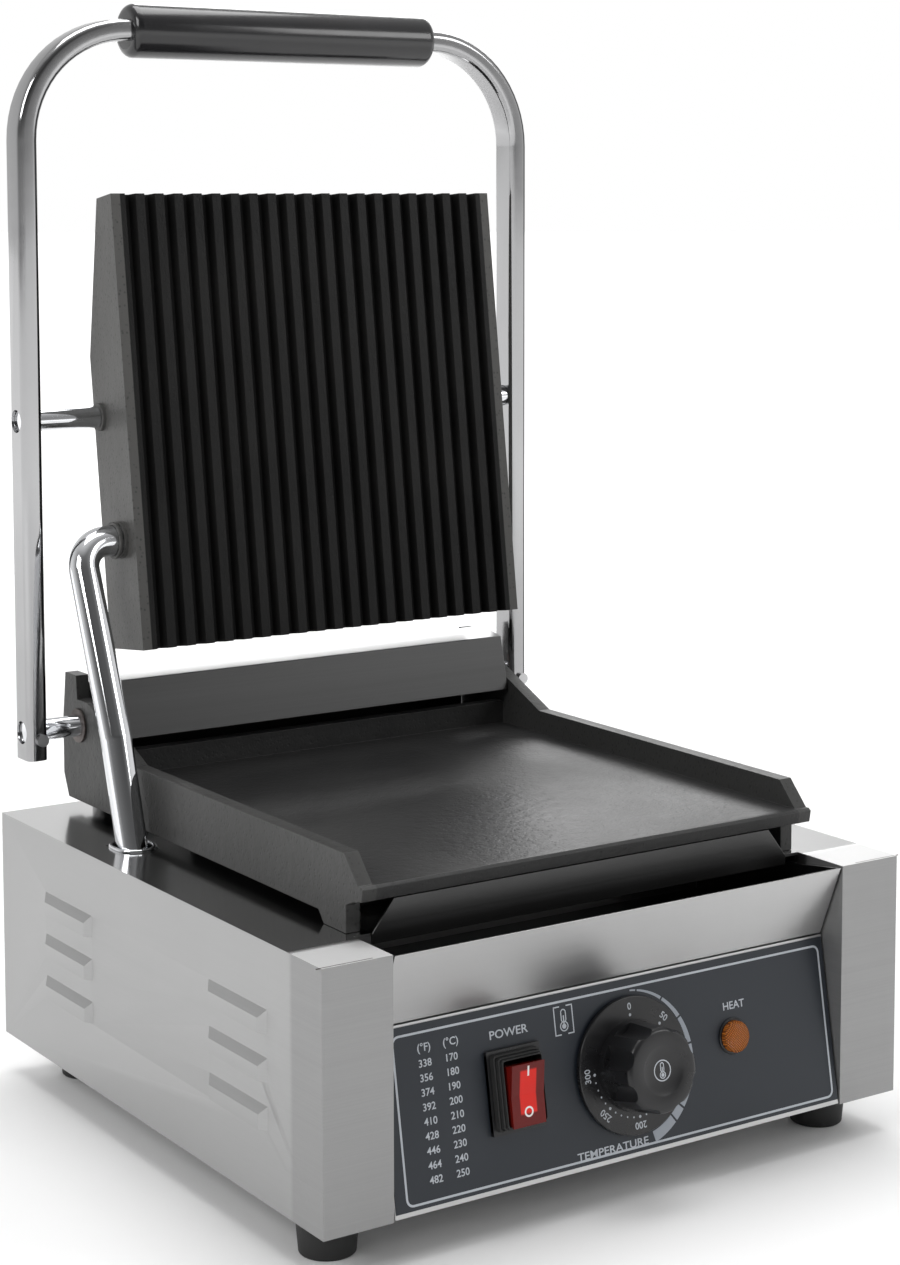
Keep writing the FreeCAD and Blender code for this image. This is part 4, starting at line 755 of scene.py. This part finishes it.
def writing(words, tall, width=None):
    # words as a thin solid centred on the origin, capitals as high as asked
    curve = bpy.data.curves.new("writing", "FONT")
    curve.body = words
    curve.extrude = panelSet["ink"] / 2
    curve.offset = 0.012
    curve.resolution_u = 3
    item = bpy.data.objects.new("writing", curve)
    bpy.context.scene.collection.objects.link(item)
    bpy.context.view_layer.update()
    mesh = bpy.data.meshes.new_from_object(item.evaluated_get(bpy.context.evaluated_depsgraph_get()))
    bpy.data.objects.remove(item)
    work = bmesh.new()
    work.from_mesh(mesh)
    bmesh.ops.remove_doubles(work, verts=work.verts[:], dist=0.00001)
    low = [min(v.co[i] for v in work.verts) for i in range(3)]
    high = [max(v.co[i] for v in work.verts) for i in range(3)]
    growY = tall * mm / (high[1] - low[1])
    growX = width * mm / (high[0] - low[0]) if width else growY
    bmesh.ops.translate(work, verts=work.verts[:], vec=[-(a + b) / 2 for a, b in zip(low, high)])
    bmesh.ops.scale(work, vec=(growX, growY, 1), verts=work.verts[:])
    bmesh.ops.translate(work, verts=work.verts[:], vec=(0, 0, panelSet["ink"] / 2))
    return work


def gather(parts):
    # puts placed pieces of work together in one mesh
    whole = bmesh.new()
    for work, place in parts:
        bmesh.ops.transform(work, matrix=place, verts=work.verts[:])
        bmesh.ops.recalc_face_normals(work, faces=work.faces[:])
        loose = bpy.data.meshes.new("loose")
        work.to_mesh(loose)
        work.free()
        whole.from_mesh(loose)
        bpy.data.meshes.remove(loose)
    return whole


def thermometer(tall, line):
    # a generic thermometer sign, centred on the origin
    stem = tall * 0.3
    bulb = tall * 0.23
    stemTall = tall - bulb * 1.7
    stemPlace = Matrix.Translation((0, (tall - stemTall) / 2 * mm, 0))
    return [(flatPlate(stem, stemTall, stem * 0.499, line), stemPlace),
            (flatDisc(bulb, line), Matrix.Translation((0, (-tall / 2 + bulb) * mm, 0))),
            (flatDisc(bulb * 0.5), Matrix.Translation((0, (-tall / 2 + bulb) * mm, 0))),
            (flatPlate(stem * 0.22, stemTall * 0.7), Matrix.Translation((0, 0, 0)))]


def taperedArc(start, end, inner, thin, wide):
    # a band round the knob that widens clockwise from start to end, in degrees from the top
    work = bmesh.new()
    first = [work.verts.new((0, inner * mm, 0)), work.verts.new((0, (inner + 1) * mm, 0))]
    edge = work.edges.new(first)
    bmesh.ops.rotate(work, verts=first, cent=(0, 0, 0), matrix=Matrix.Rotation(-math.radians(start), 3, "Z"))
    bmesh.ops.spin(work, geom=first + [edge], cent=(0, 0, 0), axis=(0, 0, 1),
                   angle=-math.radians(end - start), steps=max(4, int((end - start) / 3)), use_duplicate=False)
    for vert in work.verts:
        if vert.co.length > (inner + 0.5) * mm:
            angle = math.degrees(math.atan2(vert.co.x, vert.co.y)) % 360
            vert.co = vert.co.normalized() * (inner + thin + (wide - thin) * (angle / 165) ** 1.1) * mm
    return thicken(work)


printSet = {
    "table": [(338, 170), (356, 180), (374, 190), (392, 200), (410, 210), (428, 220), (446, 230),
              (464, 240), (482, 250)],
    "columns": (-93.5, -81.0),
    "firstRow": 16.9,
    "rowPitch": 5.6,
    "digitTall": 3.0,
    "arcGaps": (5, 12, 38, 61, 84, 108, 132, 143, 166),
}
inkOut = panelSet["film"] + 0.02
prints = [(flatPlate(218.7, 65.5, 3.3, 0.9), onPanel(1.35, 37.25, inkOut)),
          (writing("POWER", 3.4, 18.5), onPanel(-53.4, 12.2, inkOut)),
          (writing("HEAT", 3.2, 11.4), onPanel(61.1, 21.7, inkOut)),
          (writing("TEMPERATURE", 3.2, 36.0), onPanel(-8.2, 67.7, inkOut)),
          (writing("(°F)", 4.2), onPanel(printSet["columns"][0], printSet["firstRow"] - 5.7, inkOut)),
          (writing("(°C)", 4.2), onPanel(printSet["columns"][1], printSet["firstRow"] - 5.7, inkOut))]
for row, pair in enumerate(printSet["table"]):
    for column, number in zip(printSet["columns"], pair):
        prints.append((writing(str(number), printSet["digitTall"]),
                       onPanel(column, printSet["firstRow"] + row * printSet["rowPitch"], inkOut)))
iconPlace = onPanel(-26.4, 12.5, inkOut)
for side in (-1, 1):
    prints.append((flatPlate(0.5, 11.7), iconPlace @ Matrix.Translation((side * 4.5 * mm, 0, 0))))
    for level in (-1, 1):
        prints.append((flatPlate(3.1, 0.5),
                       iconPlace @ Matrix.Translation((side * 3.2 * mm, level * 5.6 * mm, 0))))
prints += [(work, iconPlace @ place) for work, place in thermometer(9.0, 0.45)]
finishPiece("panelPrint", meshFrom(gather(prints), "panelPrint"), "body", finishes["print"])
arcs = [(taperedArc(start + 0.8, end - 0.8, 29.6, 0.5, 4.6), onDial(inkOut))
        for start, end in zip(printSet["arcGaps"][:-1], printSet["arcGaps"][1:])]
finishPiece("heatBand", meshFrom(gather(arcs), "heatBand"), "body", finishes["paleGrey"])
print("panel print done")

# dial: a printed skirt that turns with the fluted knob

dialSet = {
    "skirtOut": 3.1,
    "numbers": (0, 50, 100, 150, 200, 250, 300),
    "numberRadius": 24.1,
    "numberTall": 2.9,
    "dotRadius": 20.6,
}
softened("dial_skirt", "dialSkirt", finishes["blackPlastic"], 0.0006, 3)
marks = []
for index, number in enumerate(dialSet["numbers"]):
    turnBy = -45 * index
    place = onDial(dialSet["skirtOut"] + 0.01, turnBy)
    marks.append((writing(str(number), dialSet["numberTall"]),
                  place @ Matrix.Translation((0, dialSet["numberRadius"] * mm, 0))))
    marks.append((flatDisc(0.62, count=24), place @ Matrix.Translation((0, dialSet["dotRadius"] * mm, 0))))
    if index in (0, len(dialSet["numbers"]) - 1):
        continue
    for between in range(1, 5):
        smallPlace = onDial(dialSet["skirtOut"] + 0.01, turnBy - 9 * between)
        marks.append((flatDisc(0.38, count=16),
                      smallPlace @ Matrix.Translation((0, dialSet["dotRadius"] * mm, 0))))
finishPiece("skirtMarks", meshFrom(gather(marks), "skirtMarks"), "knob", finishes["print"])

knobSet = {
    "radius": 18.5,
    "frontRadius": 17.3,
    "height": 19.0,
    "edgeRound": 2.2,
    "dishRadius": 9.8,
    "dishDeep": 0.9,
    "flutes": 8,
    "fluteRadius": 7.0,
    "fluteOut": 22.6,
    "fluteFrom": 3.0,
}
dishRadius, dishDeep, knobTop = knobSet["dishRadius"], knobSet["dishDeep"], knobSet["height"]
knobProfile = [(0.0, 0.0), (knobSet["radius"], 0.0)]
for step in range(0, 7):
    angle = math.radians(15 * step)
    knobProfile.append((knobSet["frontRadius"] - knobSet["edgeRound"] * (1 - math.cos(angle)),
                        knobTop - knobSet["edgeRound"] * (1 - math.sin(angle))))
knobProfile += [(dishRadius + 0.5, knobTop), (dishRadius, knobTop - 0.15),
                (dishRadius * 0.75, knobTop - dishDeep * 0.75),
                (dishRadius * 0.4, knobTop - dishDeep * 0.97), (0.0, knobTop - dishDeep)]
knobWork = turned([(radius * mm, height * mm) for radius, height in knobProfile], 128)
bmesh.ops.transform(knobWork, matrix=onDial(dialSet["skirtOut"]), verts=knobWork.verts[:])
knob = finishPiece("knobGrip", meshFrom(knobWork, "knobGrip", 40), "knob",
                   finishes["blackPlastic"], ("temperature_knob",))
flutes = []
for index in range(knobSet["flutes"]):
    start = onDial(dialSet["skirtOut"] + knobSet["fluteFrom"], (index + 0.5) * 45)
    flute = rodBetween(Vector((0, knobSet["fluteOut"], 0)) * mm, Vector((0, knobSet["fluteOut"], 20)) * mm,
                       knobSet["fluteRadius"] * mm, 40)
    bmesh.ops.transform(flute, matrix=start, verts=flute.verts[:])
    flutes.append(flute)
cutAway(knob, flutes)
roundEdges(knob, 0.6 * mm, 3, 38)
emblemPlace = onDial(dialSet["skirtOut"] + knobSet["height"] - knobSet["dishDeep"] + 0.03)
emblem = [(flatDisc(4.3, 0.45), emblemPlace)]
emblem += [(work, emblemPlace @ place) for work, place in thermometer(6.6, 0.4)]
finishPiece("knobEmblem", meshFrom(gather(emblem), "knobEmblem"), "knob", finishes["print"])
print("dial done")

# switch: a stepped rubber boot round a lit rocker

bootSet = {
    "x": -53.5,
    "down": 34.5,
    "flange": (25.6, 33.0),
    "corner": 1.6,
    "leastCorner": 0.8,
    "cornerSteps": 6,
    "tighter": 0.15,  # how fast the corners shrink inwards
    "steps": ((1.7, 0), (0.3, 0.25), (0, 1.15), (0.3, 0.1), (1.9, 0.05), (0.3, 0.25), (0, 0.3), (-0.6, 0.05),
              (0, 0.2), (0.6, 0.05), (1.7, 0.05), (0.3, 0.25), (0, 0.2), (-0.5, 0.05), (0, 0.15), (0.5, 0.05),
              (1.2, 0.05), (0.3, 0.2), (0, 0.2), (-4.5, 0)),  # up, in
}
bootWork = bmesh.new()
level, taken, lower = 0, 0, []
for up, inward in ((0, 0), *bootSet["steps"]):
    level, taken = level + up, taken + inward
    corner = max(bootSet["corner"] - bootSet["tighter"] * taken, bootSet["leastCorner"])
    outX, outY = (side / 2 - taken - corner for side in bootSet["flange"])
    upper = []
    for signX, signY, start in ((1, 1, 0), (-1, 1, 90), (-1, -1, 180), (1, -1, 270)):
        for step in range(bootSet["cornerSteps"] + 1):
            angle = math.radians(start + 90 * step / bootSet["cornerSteps"])
            upper.append(bootWork.verts.new(((signX * outX + corner * math.cos(angle)) * mm,
                                             (signY * outY + corner * math.sin(angle)) * mm, level * mm)))
    for index in range(len(lower)):
        after = (index + 1) % len(lower)
        bootWork.faces.new((lower[index], lower[after], upper[after], upper[index]))
    lower = upper
bootPlace = onPanel(bootSet["x"], bootSet["down"], panelSet["film"])
bmesh.ops.transform(bootWork, matrix=bootPlace, verts=bootWork.verts[:])
finishPiece("switchBoot", meshFrom(bootWork, "switchBoot", 25), "body", finishes["rubber"],
            ("switch_boot",))


def placedBy(tree, place, centre, slope):
    # object coordinates moved to a centre on the panel and laid along its slope
    move = tree.nodes.new("ShaderNodeVectorMath")
    move.operation = "SUBTRACT"
    tree.links.new(place, move.inputs[0])
    move.inputs[1].default_value = centre
    turnNode = tree.nodes.new("ShaderNodeVectorRotate")
    turnNode.rotation_type = "X_AXIS"
    tree.links.new(move.outputs[0], turnNode.inputs["Vector"])
    turnNode.inputs["Angle"].default_value = slope
    split = tree.nodes.new("ShaderNodeSeparateXYZ")
    tree.links.new(turnNode.outputs[0], split.inputs[0])
    return split.outputs["X"], split.outputs["Z"]


def insideMask(tree, value, centre, half, soft):
    distance = mathNode(tree, "ABSOLUTE", mathNode(tree, "SUBTRACT", value, centre))
    return rangeNode(tree, distance, half - soft, half + soft, 1.0, 0.0)


lean = math.atan2(panelUp.y, panelUp.z)  # how far the panel leans back
rockerMiddle = onPanel(bootSet["x"], bootSet["down"], 8.0).translation
rockerMaterial, tree, shader, place = newMaterial("rockerRed", (0.25, 0.008, 0.006), 0.0, 0.2)
across, upward = placedBy(tree, place, rockerMiddle, lean)
window = mathNode(tree, "MULTIPLY", insideMask(tree, across, 0.0, 3.9 * mm, 0.25 * mm),
                  insideMask(tree, upward, 0.0, 8.6 * mm, 0.4 * mm))
bar = mathNode(tree, "MULTIPLY", insideMask(tree, across, 0.0, 0.42 * mm, 0.06 * mm),
               insideMask(tree, upward, 8.2 * mm, 2.0 * mm, 0.06 * mm))
fromRing = mathNode(tree, "SQRT", mathNode(tree, "ADD", mathNode(tree, "POWER", across, 2.0), mathNode(
    tree, "POWER", mathNode(tree, "ADD", upward, 8.0 * mm), 2.0)))
ringMark = insideMask(tree, fromRing, 1.75 * mm, 0.36 * mm, 0.06 * mm)
signs = mathNode(tree, "MAXIMUM", bar, ringMark)
redNoise = placeGroup(tree, smearing, place, Size=60.0, Low=0.16, High=0.26)
deepRed = mixColour(tree, redNoise.outputs["Mask"], (0.10, 0.005, 0.004, 1), (0.15, 0.008, 0.006, 1))
redFace = mixColour(tree, window, deepRed, (0.72, 0.018, 0.010, 1))
tree.links.new(mixColour(tree, signs, redFace, (0.85, 0.82, 0.80, 1)), shader.inputs["Base Color"])
tree.links.new(redNoise.outputs["Roughness"], shader.inputs["Roughness"])
shader.inputs["Specular IOR Level"].default_value = 0.22
shader.inputs["Coat Weight"].default_value = 0.08
shader.inputs["Coat Roughness"].default_value = 0.08
softened("rocker", "rockerKey", rockerMaterial, 0.0008, 4)
print("switch done")

# lamp: a cross-cut amber lens in a dark rim

lampSet = {
    "x": 59.0,
    "down": 34.5,
    "rim": 7.6,
    "lens": 6.6,
    "side": 2.6,  # straight part below the dome
    "dome": 2.4,
    "facet": 0.55 * mm,
}
lensMiddle = onPanel(lampSet["x"], lampSet["down"], 0).translation
amberMaterial, tree, shader, place = newMaterial("amberLens", (0.55, 0.13, 0.02), 0.0, 0.14)
across, upward = placedBy(tree, place, lensMiddle, lean)
cuts = []
for sign in (1, -1):
    slanted = mathNode(tree, "ADD", across, mathNode(tree, "MULTIPLY", upward, float(sign)))
    wave = mathNode(tree, "PINGPONG", mathNode(tree, "ADD", slanted, 1.0), lampSet["facet"])
    cuts.append(mathNode(tree, "MULTIPLY", wave, 1 / lampSet["facet"]))
facets = mathNode(tree, "MINIMUM", *cuts)
tree.links.new(bumpNode(tree, facets, 0.9, 0.0005), shader.inputs["Normal"])
# painted shade in the cut grooves and painted highlights on the facet peaks, following the facet height
facetShadeAndHighlight = mixColour(tree, facets, (0.10, 0.018, 0.004, 1), (0.95, 0.30, 0.04, 1))
tree.links.new(facetShadeAndHighlight, shader.inputs["Base Color"])
shader.inputs["Coat Weight"].default_value = 0.1
shader.inputs["Specular IOR Level"].default_value = 0.25
lens, rim, side = lampSet["lens"], lampSet["rim"], lampSet["side"]
lensProfile = [(0.0, 0.0), (lens, 0.0), (lens, side)]
for step in range(1, 9):
    angle = math.radians(90 / 8 * step)
    lensProfile.append((lens * math.cos(angle), side + lampSet["dome"] * math.sin(angle)))
lensProfile[-1] = (0.0, side + lampSet["dome"])
lensWork = turned([(radius * mm, height * mm) for radius, height in lensProfile], 64)
rimProfile = [(lens + 0.05, 0.0), (rim, 0.0), (rim, 0.6), (rim - 0.4, 1.0), (lens + 0.05, 1.0),
              (lens + 0.05, 0.0)]
rimWork = turned([(radius * mm, height * mm) for radius, height in rimProfile], 64)
lampPlace = onPanel(lampSet["x"], lampSet["down"], panelSet["film"])
for work in (lensWork, rimWork):
    bmesh.ops.transform(work, matrix=lampPlace, verts=work.verts[:])
finishPiece("lampLens", meshFrom(lensWork, "lampLens", 50), "body", amberMaterial,
            ("lamp_lens",))
finishPiece("lampRim", meshFrom(rimWork, "lampRim", 40), "body", finishes["blackPlastic"])
print("lamp done")

# stage

stageSet = {"half": 40.0, "lit": 0.9, "faded": 2.6, "glow": 0.85}  # metres, then brightness
floorWork = bmesh.new()
bmesh.ops.create_grid(floorWork, x_segments=1, y_segments=1, size=stageSet["half"])
floorMesh = bpy.data.meshes.new("floor")
floorWork.to_mesh(floorMesh)
floorWork.free()
for face in floorMesh.polygons:
    face.use_smooth = True
floor = bpy.data.objects.new("floor", floorMesh)
bpy.context.scene.collection.objects.link(floor)
floorMaterial, tree, shader, place = newMaterial("palePaper", (0.88, 0.88, 0.88), 0.0, 0.9)
paper = placeGroup(tree, smearing, place, Size=6.0, Low=0.85, High=0.95)
fromMiddle = tree.nodes.new("ShaderNodeVectorMath")
fromMiddle.operation = "LENGTH"
tree.links.new(place, fromMiddle.inputs[0])
glow = rangeNode(tree, fromMiddle.outputs["Value"], stageSet["lit"], stageSet["faded"], 0.0, stageSet["glow"])
glowColour = tree.nodes.new("ShaderNodeCombineColor")
for channel in glowColour.inputs[:3]:
    tree.links.new(glow, channel)
tree.links.new(glowColour.outputs[0], shader.inputs["Emission Color"])
shader.inputs["Emission Strength"].default_value = 1.0
tree.links.new(paper.outputs["Roughness"], shader.inputs["Roughness"])
floorMesh.materials.append(floorMaterial)
bpy.context.scene.view_settings.view_transform = "Standard"
